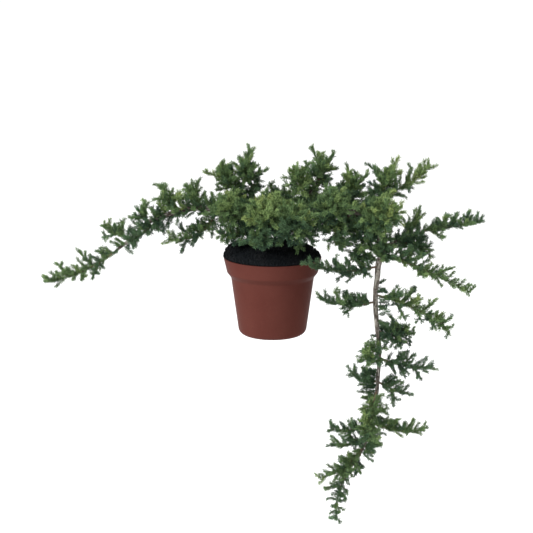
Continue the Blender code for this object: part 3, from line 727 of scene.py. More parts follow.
@dataclass(frozen=True)
class PottingMix:
    """The potting mix: it fills the pot, and is heaped over the lip, steepest on the left."""

    pot: Pot
    height: float = 13 * MM
    edge: float = 49.8 * MM
    steep: float = 14
    slack: float = 4.5
    least: float = 1 * MM
    lumps: float = 1.5 * MM
    lumps_rise: float = 20 * MM  # how far they take to reach that height
    lumps_from: float = 0.6  # where they start, as a share of that distance from the axis
    lumps_least: float = 0.35  # of their height, everywhere
    crumb_density: float = 330_000  # to a square metre
    crumb: tuple[float, float] = (0.5 * MM, 1.5 * MM)
    crumb_kinds: int = 5
    crumb_long: tuple[float, float] = (0.7, 2.2)
    crumb_flat: tuple[float, float] = (0.35, 0.9)
    crumb_rough: tuple[float, float] = (0.6, 1.2)
    crumb_seed: int = 17
    sides: int = 180
    rings: int = 40
    finish: MixFinish = field(default_factory=MixFinish)

    def top(self, radius: Any, angle: Any) -> Any:
        """How high the top of the mix is.

        Args:
            radius: the distance from the axis, as a number or an array.
            angle: the angle round the axis, likewise.

        Returns:
            The height, likewise.
        """
        leftward = 0.5 - 0.5 * np.cos(angle)
        steepness = self.slack + (self.steep - self.slack) * leftward**2
        share = 1 - np.minimum(radius / self.pot.lip_radius, 1) ** steepness
        return self.pot.height + self.height * share

    def lumpy(self, spot: Vector) -> float:
        """How far the surface stands out at a point for its clods, in metres."""
        broad = noise.noise(spot * 95)
        clods = noise.fractal(spot * 330, 0.8, 2.1, 4)
        return self.lumps * (0.5 * broad + 0.5 * clods)

    def build(self) -> None:
        """Makes the heap, and the crumbs on it."""
        inner = self.pot.wall + GAP
        filling = self.pot.profile(inner)
        filling[0] = (filling[0][0], self.pot.height + GAP)
        top = [(self.edge * k / self.rings, self.pot.height + self.height) for k in range(self.rings)]
        brim = [(self.edge, self.pot.height + 1.5 * self.least), (self.edge - GAP, self.pot.height + GAP)]
        mesh = turned_mesh("potting_mix", top + brim + filling, self.sides)
        for vertex in mesh.vertices:
            spot = vertex.co
            if spot.z > self.pot.height + self.least:
                radius, angle = hypot(spot.x, spot.y), atan2(spot.y, spot.x)
                share = min(1, max(self.lumps_least, radius / self.lumps_rise - self.lumps_from))
                height = self.top(radius, angle) + self.lumpy(spot) * share
                spot.z = max(height, self.pot.height + self.least)
        shape = bmesh.new()
        shape.from_mesh(mesh)
        low = [face for face in shape.faces if face.calc_center_median().z < self.pot.height + self.least]
        bmesh.ops.delete(shape, geom=low, context="FACES")
        heap = mesh_of("heap", shape)
        material = self.finish.material()
        add_piece("potting_mix", mesh, material, "soil", ["soil"], smooth=True)
        self.strew(heap, material)

    def strew(self, heap: Mesh, material: Material) -> None:
        """Strews loose crumbs and slivers over the heap.

        Args:
            heap: the top of the mix.
            material: the crumbs' finish.
        """
        variants = new_collection("crumbs")
        rng = Random(self.crumb_seed)
        for _ in range(self.crumb_kinds):
            shape = bmesh.new()
            bmesh.ops.create_icosphere(shape, subdivisions=1, radius=1)
            long, flat = rng.uniform(*self.crumb_long), rng.uniform(*self.crumb_flat)
            for vertex in shape.verts:
                vertex.co *= rng.uniform(*self.crumb_rough)
                vertex.co.x *= long
                vertex.co.z *= flat
            variants.objects.link(bpy.data.objects.new("crumb", mesh_of("crumb", shape)))
        tree = Growth("crumbs")
        density = tree.input("Density", "Float")
        smallest = tree.input("Smallest", "Float")
        largest = tree.input("Largest", "Float")
        kinds = tree.input("Variants", "Collection")
        points = tree.node(
            "GeometryNodeDistributePointsOnFaces", inputs={"Mesh": tree.base, "Density": density, "Seed": 3}
        )
        share = tree.chance(0, 1, 5)
        size = smallest + (largest - smallest) * share * share
        turn = tree.node(
            "FunctionNodeRandomValue",
            {"data_type": "FLOAT_VECTOR"},
            {0: (0, 0, 0), 1: (tau, tau, tau), "Seed": 7},
        )
        tree.close(tree.scatter(points, kinds, tree.pick(self.crumb_kinds, 11), turn, size))
        values = {
            "Density": self.crumb_density, "Smallest": self.crumb[0], "Largest": self.crumb[1],
            "Variants": variants, "Material": material,
        }
        mesh = tree.grow("crumbs", heap, values)
        clear_variants(variants)
        add_piece("crumbs", mesh, material, "soil", ["soil"])


# The wood


def heading(azimuth: float, rise: float) -> Vector:
    """The unit vector at this azimuth and rise, in degrees."""
    turn, climb = radians(azimuth), radians(rise)
    return Vector((cos(climb) * cos(turn), cos(climb) * sin(turn), sin(climb)))


def smooth_path(corners: Line, steps: int) -> list[Vector]:
    """A smooth curve through the corners.

    Args:
        corners: the points that it runs through.
        steps: how many points each stretch between two corners has.

    Returns:
        The curve's points.
    """
    points = [2 * corners[0] - corners[1], *corners, 2 * corners[-1] - corners[-2]]
    path = []
    for k in range(1, len(points) - 2):
        before, start, end, after = points[k - 1 : k + 3]
        for step in range(steps):
            t = step / steps
            path.append(
                0.5 * (2 * start + (end - before) * t
                       + (2 * before - 5 * start + 4 * end - after) * t * t
                       + (3 * start - before - 3 * end + after) * t**3)
            )
    path.append(points[-2])
    return path


def path_length(path: Line) -> float:
    """The length of a line of points."""
    return sum((b - a).length for a, b in pairwise(path))


def point_along(path: Line, share: float) -> tuple[Vector, Vector]:
    """The point and the heading at a place on a path.

    Args:
        path: the path.
        share: the place, as a share of the path's length.

    Returns:
        The point, and the unit vector of the heading.
    """
    lengths = [(b - a).length for a, b in pairwise(path)]
    left = share * sum(lengths)
    for (a, b), length in zip(pairwise(path), lengths):
        if left <= length:
            return a.lerp(b, left / length), (b - a).normalized()
        left -= length
    return path[-1].copy(), (path[-1] - path[-2]).normalized()


def cross_basis(forward: Vector) -> tuple[Vector, Vector]:
    """Two unit vectors square to a heading and to each other.

    Args:
        forward: the heading.

    Returns:
        One that is level, and one as near to up as it can be.
    """
    level = Vector((0, 0, 1)).cross(forward)
    if level.length < NEAR_UPRIGHT:
        level = Vector((0, 1, 0)).cross(forward)
    level.normalize()
    return level, forward.cross(level)


def ring(centre: Vector, forward: Vector, radius: float, sides: int) -> list[Vector]:
    """Points evenly round a centre, square to a heading.

    Args:
        centre: the centre.
        forward: the heading.
        radius: how far out they lie.
        sides: how many there are.

    Returns:
        The points.
    """
    level, upper = cross_basis(forward)
    angles = [tau * k / sides for k in range(sides)]
    return [centre + radius * (cos(angle) * level + sin(angle) * upper) for angle in angles]


@dataclass(frozen=True)
class Limb:
    """A tapering limb: where it leaves its parent, and its legs as (azimuth, rise, length in mm)."""

    name: str
    parent: str | None
    along: float
    radius: float
    tip_radius: float
    legs: tuple


LIMBS = (
    Limb("trunk", None, 0, 6.0, 2.0,
         ((0, 90, 5), (-167, 68, 9), (-158, 79, 14), (162, 77, 14), (135, 79, 13))),
    Limb("bough_left", "trunk", 0.38, 3.6, 2.6,
         ((-158, 26, 15), (-165, 18, 20), (-165, 12, 20), (-163, 0, 17), (-165, -13, 16))),
    Limb("bough_left_outer", "bough_left", 1, 2.6, 1.5,
         ((-179, -21, 10), (-175, -27, 11), (-175, -42, 15), (-173, -44, 12), (-174, -38, 13))),
    Limb("bough_right", "trunk", 0.27, 4.6, 3.4,
         ((-19, 24, 25), (-15, 16, 29), (-13, 7, 30), (-21, -12, 23), (-23, -33, 19), (-31, -65, 13))),
    Limb("bough_cascade", "bough_right", 1, 3.4, 1.4,
         ((-168, -68, 13), (-134, -80, 16), (-142, -85, 20), (-33, -86, 26), (1, -83, 24),
          (0, -90, 24), (-180, -87, 23), (-180, -85, 24), (170, -78, 26), (172, -68, 22))),
    Limb("bough_far_right", "bough_cascade", 0.03, 2.3, 1.5,
         ((17, 16, 12), (14, 20, 13), (13, 19, 14))),
    Limb("bough_upper_right", "bough_right", 0.68, 2.4, 1.5,
         ((8, 19, 12), (21, 27, 18), (19, 25, 17))),
    Limb("bough_crown_right", "bough_right", 0.25, 2.4, 1.5,
         ((32, 55, 7), (24, 52, 16), (20, 53, 15))),
    Limb("bough_front", "trunk", 0.27, 2.6, 1.6,
         ((-66, 22, 11), (-63, 9, 18), (-64, -4, 13))),
    Limb("bough_back", "trunk", 0.5, 2.6, 1.6,
         ((82, 27, 8), (67, 13, 13), (60, 1, 12))),
)


@dataclass
class Wood:
    """The trunk and boughs: their lines and radii, as the solids have them, and their bark."""

    mix: PottingMix
    foot: tuple[float, float] = (-10, 4)
    steps: int = 2
    sample: float = 1 * MM
    search: float = 0.05 * MM
    stub: float = 3
    flare: float = 1.5
    flare_height: float = 9 * MM
    lobes: int = 4
    lobe_depth: float = 0.14
    lobe_turn: float = 0.6
    fine_steps: int = 14
    sides: int = 30
    trunk_sides: int = 56
    sunk: float = 3 * MM  # how far the trunk's skin goes on into the mix
    sunk_tip: float = 1.5 * MM  # and a limb's into the tip that it goes on from
    sunk_side: float = 0.3  # where it starts in the side of its parent, 0 for the parent's middle
    collar: float = 0.55  # how much a bough swells at its root
    collar_length: float = 5 * MM
    grain_stretch: float = 0.16  # the pattern's scale along the limb, as a share of that across
    scar_every: float = 9 * MM
    scar_height: tuple[float, float] = (0.25 * MM, 0.55 * MM)
    scar_radius: float = 1.1 * MM
    seed: int = 100
    finish: BarkFinish = field(default_factory=BarkFinish)
    paths: dict[str, list[Vector]] = field(default_factory=dict)
    corners: dict[str, list[Vector]] = field(default_factory=dict)
    samples: np.ndarray = field(default_factory=lambda: np.empty((0, 4)))

    @property
    def ground(self) -> float:
        """How high the trunk's foot lies."""
        return self.mix.pot.height + self.mix.height + GAP

    def grow(self) -> None:
        """Works out every limb from its parent."""
        for limb in LIMBS:
            if limb.parent is None:
                corners = [Vector((self.foot[0] * MM, self.foot[1] * MM, self.ground))]
            else:
                first = heading(*limb.legs[0][:2])
                corners = self.root_of(limb.parent, limb.along, first, limb.radius * MM)
            for azimuth, rise, length in limb.legs:
                corners.append(corners[-1] + heading(azimuth, rise) * length * MM)
            path = smooth_path(corners, self.steps)
            radii = [self.radius_at(limb, k / (len(path) - 1), path[k]) for k in range(len(path))]
            self.paths[limb.name] = path
            self.corners[limb.name] = corners
            self.samples = np.vstack([self.samples, self.sampled(path, radii)])

    def radius_at(self, limb: Limb, share: float, point: Vector) -> float:
        """A limb's radius, with the trunk's flare.

        Args:
            limb: the limb.
            share: the place, as a share of its length.
            point: the place itself.

        Returns:
            The radius.
        """
        radius = MM * (limb.radius + (limb.tip_radius - limb.radius) * share)
        if limb.parent is None:
            height = max(0.0, point.z - self.ground)
            radius *= 1 + (self.flare - 1) * max(0, 1 - height / self.flare_height) ** 2
        return radius

    def sampled(self, path: Line, radii: Sequence[float]) -> np.ndarray:
        """Samples a limb or stem at short steps.

        Args:
            path: its line.
            radii: its radius at each point of the line.

        Returns:
            Rows of x, y, z and radius.
        """
        rows = []
        for (a, b), (first, second) in zip(pairwise(path), pairwise(radii)):
            steps = max(1, ceil((b - a).length / self.sample))
            for step in range(steps):
                share = step / steps
                rows.append((*a.lerp(b, share), first + (second - first) * share))
        rows.append((*path[-1], radii[-1]))
        return np.array(rows)

    def clearance(self, points: Any) -> np.ndarray:
        """How far each point lies outside the nearest bark."""
        spots = np.asarray(points, float).reshape(-1, 1, 3)
        reach = np.linalg.norm(spots - self.samples[:, :3], axis=2) - self.samples[:, 3]
        return reach.min(axis=1)

    def root_of(self, name: str, along: float, direction: Vector, radius: float) -> list[Vector]:
        """The first points of a stem or limb, so that its foot is clear of the wood by the gap.

        Args:
            name: the limb that it grows from.
            along: where on that limb, from 0 to 1.
            direction: its heading.
            radius: its radius.

        Returns:
            One point, or two where it goes on from the limb's tip.
        """
        point, forward = point_along(self.paths[name], along)
        if along == 1:
            foot = point + forward * GAP
            return [foot, foot + forward * self.stub * radius]
        distance = 0.0
        while self.clearance(ring(point + direction * distance, direction, radius, 8)).min() < GAP:
            distance += self.search
        return [point + direction * distance]

    def build(self) -> None:
        """Makes one piece of bark for each limb."""
        material = self.finish.material()
        for index, limb in enumerate(LIMBS):
            mesh = self.bark(limb, Random(self.seed + index))
            add_piece(f"{limb.name}_bark", mesh, material, "bark", [limb.name], smooth=True)

    def bark(self, limb: Limb, rng: Random) -> Mesh:
        """A limb's skin: rings along its line, raised into strips and split by cracks.

        Args:
            limb: the limb.
            rng: its random numbers.

        Returns:
            A closed mesh with the attributes grain, which runs along the limb, and height.
        """
        places = self.places(limb)
        sides = self.trunk_sides if limb.parent is None else self.sides
        scars = self.scars(path_length([point for point, _ in places[1:]]), rng)
        drift = Vector((rng.uniform(0, 9), rng.uniform(0, 9), rng.uniform(0, 9)))
        shape = bmesh.new()
        grain_layer = shape.verts.layers.float_vector.new("grain")
        height_layer = shape.verts.layers.float.new("height")
        side, rings, reached = None, [], 0.0
        for k, (centre, share) in enumerate(places):
            after, before = places[min(k + 1, len(places) - 1)][0], places[max(k - 1, 0)][0]
            forward = (after - before).normalized()
            if side is None:
                side, _ = cross_basis(forward)
            side = (side - forward * side.dot(forward)).normalized()
            other = forward.cross(side)
            reached += (centre - before).length if k else 0.0
            radius = self.radius_at(limb, share, centre)
            if limb.parent and limb.along < 1:
                radius *= 1 + self.collar * max(0, 1 - reached / self.collar_length) ** 2
            corners = []
            for corner in range(sides):
                angle = tau * corner / sides
                outward = cos(angle) * side + sin(angle) * other
                across, beside = cos(angle) * radius, sin(angle) * radius
                grain = Vector((across, beside, reached * self.grain_stretch)) + drift * MM
                lift, height = self.relief(grain, reached, angle, scars, radius)
                swell = self.lobe(limb, centre, outward)
                vertex = shape.verts.new(centre + outward * (radius * swell + lift))
                vertex[grain_layer], vertex[height_layer] = grain, height
                corners.append(vertex)
            rings.append(corners)
        for lower, upper in pairwise(rings):
            for k in range(sides):
                after = (k + 1) % sides
                shape.faces.new((lower[k], lower[after], upper[after], upper[k]))
        shape.faces.new(rings[0][::-1])
        tip = shape.verts.new(places[-1][0] + forward * self.radius_at(limb, 1, places[-1][0]) * 0.8)
        for k in range(sides):
            shape.faces.new((rings[-1][k], rings[-1][(k + 1) % sides], tip))
        return mesh_of(limb.name, shape)

    def scars(self, length: float, rng: Random) -> list[tuple[float, float, float]]:
        """The knots left by old twigs.

        Args:
            length: the limb's length.
            rng: their random numbers.

        Returns:
            The distance along the limb, the angle round it and the height of each.
        """
        return [
            (rng.uniform(0.08, 0.95) * length, rng.uniform(0, tau), rng.uniform(*self.scar_height))
            for _ in range(round(length / self.scar_every))
        ]

    def places(self, limb: Limb) -> list[tuple[Vector, float]]:
        """Where the rings of a limb's skin stand.

        Args:
            limb: the limb.

        Returns:
            The middle of each ring, from inside what the limb grows from, and its share of the length.
        """
        line = smooth_path(self.corners[limb.name], self.fine_steps)
        if limb.parent is None:
            inside = line[0] - Vector((0, 0, self.sunk))
        elif limb.along == 1:
            back, forward = point_along(self.paths[limb.parent], 1)
            inside = back - forward * self.sunk_tip
        else:
            inner, _ = point_along(self.paths[limb.parent], limb.along)
            inside = inner.lerp(line[0], self.sunk_side)
        return [(inside, 0), *((point, k / (len(line) - 1)) for k, point in enumerate(line))]

    def lobe(self, limb: Limb, centre: Vector, outward: Vector) -> float:
        """How much the trunk's foot swells into its root lobes.

        Args:
            limb: the limb.
            centre: the middle of the ring.
            outward: the side of the limb, as a unit vector.

        Returns:
            The swelling, as a factor on the radius.
        """
        height = max(0.0, centre.z - self.ground)
        if limb.parent or height > self.flare_height:
            return 1.0
        angle = atan2(outward.y, outward.x)
        wave = self.lobe_depth * cos(self.lobes * angle + self.lobe_turn)
        return 1 + wave * (1 - height / self.flare_height)

    def relief(
        self, grain: Vector, reached: float, angle: float, scars: Sequence[tuple], radius: float
    ) -> tuple[float, float]:
        """The bark's relief at a point.

        Args:
            grain: the place along the limb's grain.
            reached: the distance from the limb's root.
            angle: the side of the limb.
            scars: the limb's knots.
            radius: the limb's radius there.

        Returns:
            How far the point is moved outwards, in metres, and its height from 0 to 1.
        """
        strips = noise.noise(grain * 620)
        fine = noise.noise(grain * 1900)
        crack = max(0.0, 0.16 - abs(noise.noise(grain * 430 + Vector((7, 3, 1))))) / 0.16
        knobs = noise.noise(Vector((grain.x, grain.y, grain.z * 3)) * 190)
        height = 0.5 + 0.38 * strips + 0.16 * fine - 0.55 * crack**2
        lift = (height - 0.5) * min(0.30 * radius, 0.62 * MM) + knobs * 0.14 * radius
        for distance, turn, size in scars:
            across = remainder(angle - turn, tau) * radius
            off = hypot(across, reached - distance) / self.scar_radius
            if off < 3:
                lift += size * exp(-off * off)
                height += 0.25 * exp(-off * off)
        return lift, min(1.0, max(0.0, height))


# The foliage


@dataclass(frozen=True)
class Mass:
    """A mass of foliage: its stem's root and heading, and how its shoots stand on it."""

    name: str
    limb: str
    along: float  # where on the limb, from 0 at its root to 1 at its tip
    azimuth: float  # degrees from +X towards +Y
    rise: float  # degrees above the horizontal
    length: float  # of the stem, mm
    lift: float  # how far the stem's heading climbs on the way to its tip, degrees
    shoots: int
    reach: float  # of the longest shoot, mm
    up: float  # how strongly the shoots turn upwards
    core: float  # radius of the dense middle, mm, or 0 for an open mass
    tone: str
    seed: int

    @property
    def region(self) -> Region:
        """The part of the plant that the mass belongs to."""
        for region in (Region.LEFT, Region.CROWN, Region.HANGING):
            if self.name.startswith(f"foliage_{region.value}"):
                return region
        return Region.RIGHT


MASSES = (
    Mass("foliage_left_tip", "bough_left_outer", 1, -179, -38, 79, 30, 7, 27, .3, 0, "fresh", 801),
    Mass("foliage_right_low_inner", "bough_right", .42, -49, -19, 38, -40, 7, 16, 0, 13, "mid", 228),
    Mass("foliage_left_outer", "bough_left_outer", .72, 184, 15, 29, 25, 6, 21, 0, 0, "mid", 203),
    Mass("foliage_left_shoulder", "bough_left_outer", .34, -169, 32, 15, 35, 7, 20, -.1, 0, "mid", 411),
    Mass("foliage_left_low_twig", "bough_left_outer", .14, -141, -31, 42, 10, 7, 17, 0, 0, "deep", 589),
    Mass("foliage_left_crest_outer", "bough_left", .93, -141, 45, 29, 25, 7, 24, .1, 0, "fresh", 1206),
    Mass("foliage_left_crest_inner", "bough_left", .66, 118, 38, 26, 15, 8, 24, 0, 0, "mid", 5),
    Mass("foliage_left_loop", "bough_left", .45, -154, -61, 64, 80, 9, 20, .1, 0, "deep", 108),
    Mass("foliage_crown_left", "trunk", .55, -166, 44, 52, 25, 8, 18, .5, 15, "mid", 409),
    Mass("foliage_crown_top", "trunk", 1, -129, 56, 29, 10, 8, 18, .5, 12, "mid", 862),
    Mass("foliage_crown_front_left", "trunk", .42, -127, 17, 49, 20, 8, 17, .2, 17, "mid", 411),
    Mass("foliage_crown_skirt_left", "trunk", .22, -136, 12, 49, -20, 6, 15, 0, 10, "deep", 645),
    Mass("foliage_crown_front", "bough_front", .9, -146, 23, 26, 40, 8, 14, .2, 16, "fresh", 613),
    Mass("foliage_crown_front_low", "bough_front", .72, -124, -3, 29, -50, 6, 14, 0, 11, "deep", 314),
    Mass("foliage_crown_front_right", "bough_front", 1, -15, 27, 20, 0, 8, 16, .2, 17, "deep", 215),
    Mass("foliage_crown_dip", "bough_right", .22, -156, 27, 13, 20, 7, 13, .1, 13, "fresh", 1416),
    Mass("foliage_crown_right_inner", "bough_crown_right", .5, -118, 41, 35, 10, 8, 14, .5, 11, "fresh", 31),
    Mass("foliage_crown_right_top", "bough_crown_right", 1, 64, 59, 12, 15, 8, 15, .5, 11, "mid", 818),
    Mass("foliage_crown_skirt_right", "bough_right", .14, -45, -4, 35, -30, 6, 14, .1, 11, "deep", 1319),
    Mass("foliage_crown_back_left", "trunk", .72, 157, -11, 31, 15, 8, 24, .3, 16, "mid", 1520),
    Mass("foliage_crown_back", "bough_back", 1, 60, -9, 37, 10, 8, 15, 0, 14, "mid", 347),
    Mass("foliage_crown_back_low", "bough_back", .45, 108, -19, 38, -35, 7, 17, .1, 14, "deep", 922),
    Mass("foliage_crown_back_right", "bough_right", .3, 72, -6, 53, 20, 8, 20, .4, 16, "mid", 1523),
    Mass("foliage_right_top", "bough_right", .62, 56, 43, 28, 20, 8, 18, .5, 14, "mid", 824),
    Mass("foliage_right_front", "bough_right", .48, -74, 11, 36, 30, 8, 17, .3, 16, "mid", 1425),
    Mass("foliage_right_front_low", "bough_right", .64, -33, -47, 47, -40, 8, 16, 0, 15, "mid", 477),
    Mass("foliage_right_front_outer", "bough_right", .76, -50, -1, 33, 35, 8, 14, .2, 16, "fresh", 527),
    Mass("foliage_right_back", "bough_right", .6, 74, -20, 47, 15, 7, 18, .4, 16, "mid", 1229),
    Mass("foliage_upper_right", "bough_upper_right", .45, 32, 56, 24, 10, 7, 15, .3, 11, "mid", 1130),
    Mass("foliage_upper_right_tip", "bough_upper_right", 1, 2, 23, 39, 30, 7, 20, 0, 0, "fresh", 131),
    Mass("foliage_far_right_inner", "bough_far_right", .45, 30, 43, 29, 25, 6, 18, .1, 0, "deep", 32),
    Mass("foliage_far_right_tip", "bough_far_right", 1, 3, 7, 59, 5, 8, 22, .3, 0, "mid", 33),
    Mass("foliage_right_low", "bough_far_right", .3, 29, -10, 24, -15, 7, 14, .1, 11, "deep", 1434),
    Mass("foliage_low_right_tip", "bough_cascade", .06, -12, -18, 94, -8, 7, 24, .1, 0, "fresh", 535),
    Mass("foliage_hanging_left_1", "bough_cascade", .12, -161, -10, 76, 34, 8, 20, .2, 0, "deep", 536),
    Mass("foliage_hanging_left_2", "bough_cascade", .28, -170, -12, 58, 40, 8, 20, .3, 0, "deep", 1337),
    Mass("foliage_hanging_right_1", "bough_cascade", .25, -8, -10, 84, -35, 9, 28, .4, 0, "mid", 938),
    Mass("foliage_hanging_right_2", "bough_cascade", .41, 21, -31, 29, 50, 7, 16, 0, 11, "deep", 1439),
    Mass("foliage_hanging_front", "bough_cascade", .49, -129, -9, 22, -30, 6, 10, 0, 9, "mid", 20),
    Mass("foliage_hanging_right_3", "bough_cascade", .54, -2, -22, 55, 25, 8, 20, .1, 0, "deep", 1141),
    Mass("foliage_hanging_right_4", "bough_cascade", .65, -4, -32, 30, 25, 6, 20, 0, 0, "deep", 242),
    Mass("foliage_hanging_left_3", "bough_cascade", .65, -168, -3, 31, 60, 6, 20, 0, 0, "deep", 243),
    Mass("foliage_hanging_sleeve", "bough_cascade", .69, -114, -46, 51, -25, 8, 15, 0, 9, "fresh", 306),
    Mass("foliage_hanging_right_5", "bough_cascade", .85, -3, -19, 54, 25, 8, 20, .2, 0, "fresh", 1145),
    Mass("foliage_hanging_left_4", "bough_cascade", .86, -172, -16, 42, 30, 6, 20, 0, 0, "deep", 1446),
    Mass("foliage_hanging_left_5", "bough_cascade", .93, 161, -28, 37, 30, 6, 18, 0, 0, "mid", 1547),
    Mass("foliage_hanging_left_6", "bough_cascade", .97, -175, -52, 51, 40, 7, 20, 0, 0, "fresh", 1048),
    Mass("foliage_hanging_tip", "bough_cascade", 1, 165, -52, 81, -40, 8, 21, 0, 0, "fresh", 821),
)


@dataclass(frozen=True)
class Twig:
    """A twig of a solid: its line, its bare foot, its teeth's reach, its whorls, roll and seed."""

    path: tuple
    bare: float
    tooth: float
    whorls: int
    roll: float
    seed: int


@dataclass(frozen=True)
class TwigRule:
    """How the twigs of the solids branch, which the finer shoots start from."""

    stem_radius: float = 1.2 * MM
    stem_steps: int = 4
    waist_radius: float = 1.1 * MM
    spread: tuple[float, float] = (0.65, 1.3)
    forward: float = 0.78
    tip_stretch: float = 0.45
    taper: float = 0.45
    stem_tooth: float = 7.5 * MM
    stretch: float = 10 * MM
    bare_stem: float = 0.5
    bare_stem_dense: float = 0.78
    shoot_tooth: float = 7 * MM
    most_whorls: int = 3
    foot_shares: tuple[float, ...] = (0.35, 0.5, 0.65, 0.82)
    length_tries: tuple[float, ...] = (1, 0.8, 0.6, 0.45)
    roll_tries: int = 8
    first_shoot: float = 0.08
    last_shoot: float = 0.85
    length_spread: tuple[float, float] = (0.8, 1.1)
    foot_length: float = 1.1
    tip_shorter: float = 0.45
    root_share: float = 0.45
    apart: float = 6.7 * MM
    lean: float = 55
    lean_spread: float = 9
    core_along: float = 0.55
    core_roots: float = 0.3
    core_bare: float = 0.7
    core_draws: int = 42  # random numbers that the solid of a dense mass's middle takes

    def stem_path(self, mass: Mass, wood: Wood) -> list[Vector]:
        """The stem of a mass.

        Args:
            mass: the mass.
            wood: the limbs that it may grow from.

        Returns:
            Its line, from its foot against the limb to its tip.
        """
        first = heading(mass.azimuth, mass.rise)
        path = wood.root_of(mass.limb, mass.along, first, self.stem_radius)
        for step in range(self.stem_steps):
            share = (step + 0.5) / self.stem_steps
            forward = heading(mass.azimuth, mass.rise + mass.lift * share)
            path.append(path[-1] + forward * mass.length * MM / self.stem_steps)
        return path

    def stem_twig(self, mass: Mass, path: Line, rng: Random) -> Twig:
        """A mass's stem as a twig.

        Args:
            mass: the mass.
            path: the stem's line.
            rng: its random numbers.

        Returns:
            The twig.
        """
        length = path_length(path)
        bare = length * (self.bare_stem_dense if mass.core else self.bare_stem)
        whorls = max(1, round((length - bare) / self.stretch))
        roll, seed = rng.uniform(0, tau), rng.randrange(1000)
        return Twig(tuple(path), bare, self.stem_tooth, whorls, roll, seed)

    def side_shoot(
        self, base: Vector, forward: Vector, length: float, bare: float, rng: Random
    ) -> Twig:
        """A straight side shoot.

        Args:
            base: its root.
            forward: its heading.
            length: its length.
            bare: how much of it bears no teeth.
            rng: its random numbers.

        Returns:
            The twig.
        """
        whorls = min(self.most_whorls, max(1, round((length - bare) / self.stretch)))
        path = (base, base + forward * length)
        return Twig(path, bare, self.shoot_tooth, whorls, rng.uniform(0, tau), rng.randrange(1000))

    def rings(self, twig: Twig) -> list[list[Vector]]:
        """The three-pointed rings of a twig: slim waists and, between them, whorls of teeth.

        Args:
            twig: the twig.

        Returns:
            The three points of each ring, from the foot on.
        """
        rng = Random(twig.seed)
        length = path_length(twig.path)
        stretch = (length - twig.bare) / (twig.whorls + self.tip_stretch)
        places, reached = [(0, self.stem_radius)], 0
        for a, b in zip(twig.path, twig.path[1:-1]):
            reached += (b - a).length
            if reached < twig.bare - self.waist_radius:
                places.append((reached, self.waist_radius))
        for k in range(twig.whorls):
            tooth = twig.tooth * (1 - self.taper * k / twig.whorls)
            if k or len(twig.path) > 2:
                places.append((twig.bare + stretch * k, self.waist_radius))
            places.append((twig.bare + stretch * (k + self.forward), tooth))
        side, rings = None, []
        for k, (distance, radius) in enumerate(places):
            centre, forward = point_along(twig.path, distance / length)
            if side is None:
                side, _ = cross_basis(forward)
            side = (side - forward * side.dot(forward)).normalized()
            other = forward.cross(side)
            points = []
            for corner in range(3):
                angle = twig.roll + k * pi / 3 + tau * corner / 3
                reach = radius if radius <= self.stem_radius else radius * rng.uniform(*self.spread)
                points.append(centre + reach * (cos(angle) * side + sin(angle) * other))
            rings.append(points)
        return rings

    def outside_points(self, twig: Twig) -> list[Vector]:
        """Points on the outside of a twig, close enough to find what it meets.

        Args:
            twig: the twig.

        Returns:
            Its tip, and the points past its foot.
        """
        foot, *rings = self.rings(twig)
        points = [twig.path[-1], *(point for ring_points in rings for point in ring_points)]
        for share in self.foot_shares:
            points += [a.lerp(b, share) for a, b in zip(foot, rings[0])]
            points += [a.lerp(b, share) for a, b in zip(foot[1:] + foot[:1], rings[0])]
        for lower, upper in pairwise(rings):
            points += [(a + b) / 2 for a, b in zip(lower, upper)]
            points += [(a + b) / 2 for a, b in zip(lower[1:] + lower[:1], upper)]
        return points

    def open_headings(self, mass: Mass, path: Line, rng: Random) -> Iterator[tuple]:
        """How the side shoots of an open mass may stand.

        Args:
            mass: the mass.
            path: its stem's line.
            rng: its random numbers.

        Yields:
            Each shoot's root, the headings that it may take, and its length.
        """
        roll = rng.uniform(0, tau)
        for k in range(mass.shoots):
            share = self.first_shoot + (self.last_shoot - self.first_shoot) * (k + 0.5) / mass.shoots
            base, forward = point_along(path, share)
            roll += GOLDEN_ANGLE
            lean = radians(self.lean + rng.uniform(-self.lean_spread, self.lean_spread))
            rolls = [roll + trial * GOLDEN_ANGLE / 2 for trial in range(self.roll_tries)]
            headings = [leaning(forward, turned, lean, mass.up) for turned in rolls]
            longest = mass.reach * MM * rng.uniform(*self.length_spread)
            yield base, headings, longest * (self.foot_length - self.tip_shorter * share)

    def dense_headings(self, mass: Mass, path: Line, rng: Random) -> Iterator[tuple]:
        """The same for a dense mass, whose shoots stand out of its core on every side."""
        for base, outward in self.spiral(mass, path, mass.shoots, rng):
            yield base, [outward], mass.core * MM + mass.reach * MM * rng.uniform(*self.length_spread)

    def spiral(
        self, mass: Mass, path: Line, count: int, rng: Random
    ) -> Iterator[tuple[Vector, Vector]]:
        """Spreads shoots evenly all round a dense mass's stem.

        Args:
            mass: the mass.
            path: its stem's line.
            count: how many shoots there are.
            rng: its random numbers.

        Yields:
            Each shoot's root and heading.
        """
        chord = (path[-1] - path[0]).normalized()
        phase = rng.uniform(0, tau)
        for k in range(count):
            height = 1 - 2 * (k + 0.5) / count
            turn = phase + k * GOLDEN_ANGLE
            across = sqrt(1 - height * height)
            outward = Vector((across * cos(turn), across * sin(turn), height + mass.up / 2))
            outward.normalize()
            base, _ = point_along(path, self.core_along + self.core_roots * outward.dot(chord))
            yield base, outward

    def clothed_points(self, twig: Twig) -> list[Vector]:
        """Points along the clothed part of a twig's line."""
        first = max(twig.bare / path_length(twig.path), self.root_share)
        return [point_along(twig.path, first + (1 - first) * step / 4)[0] for step in range(5)]

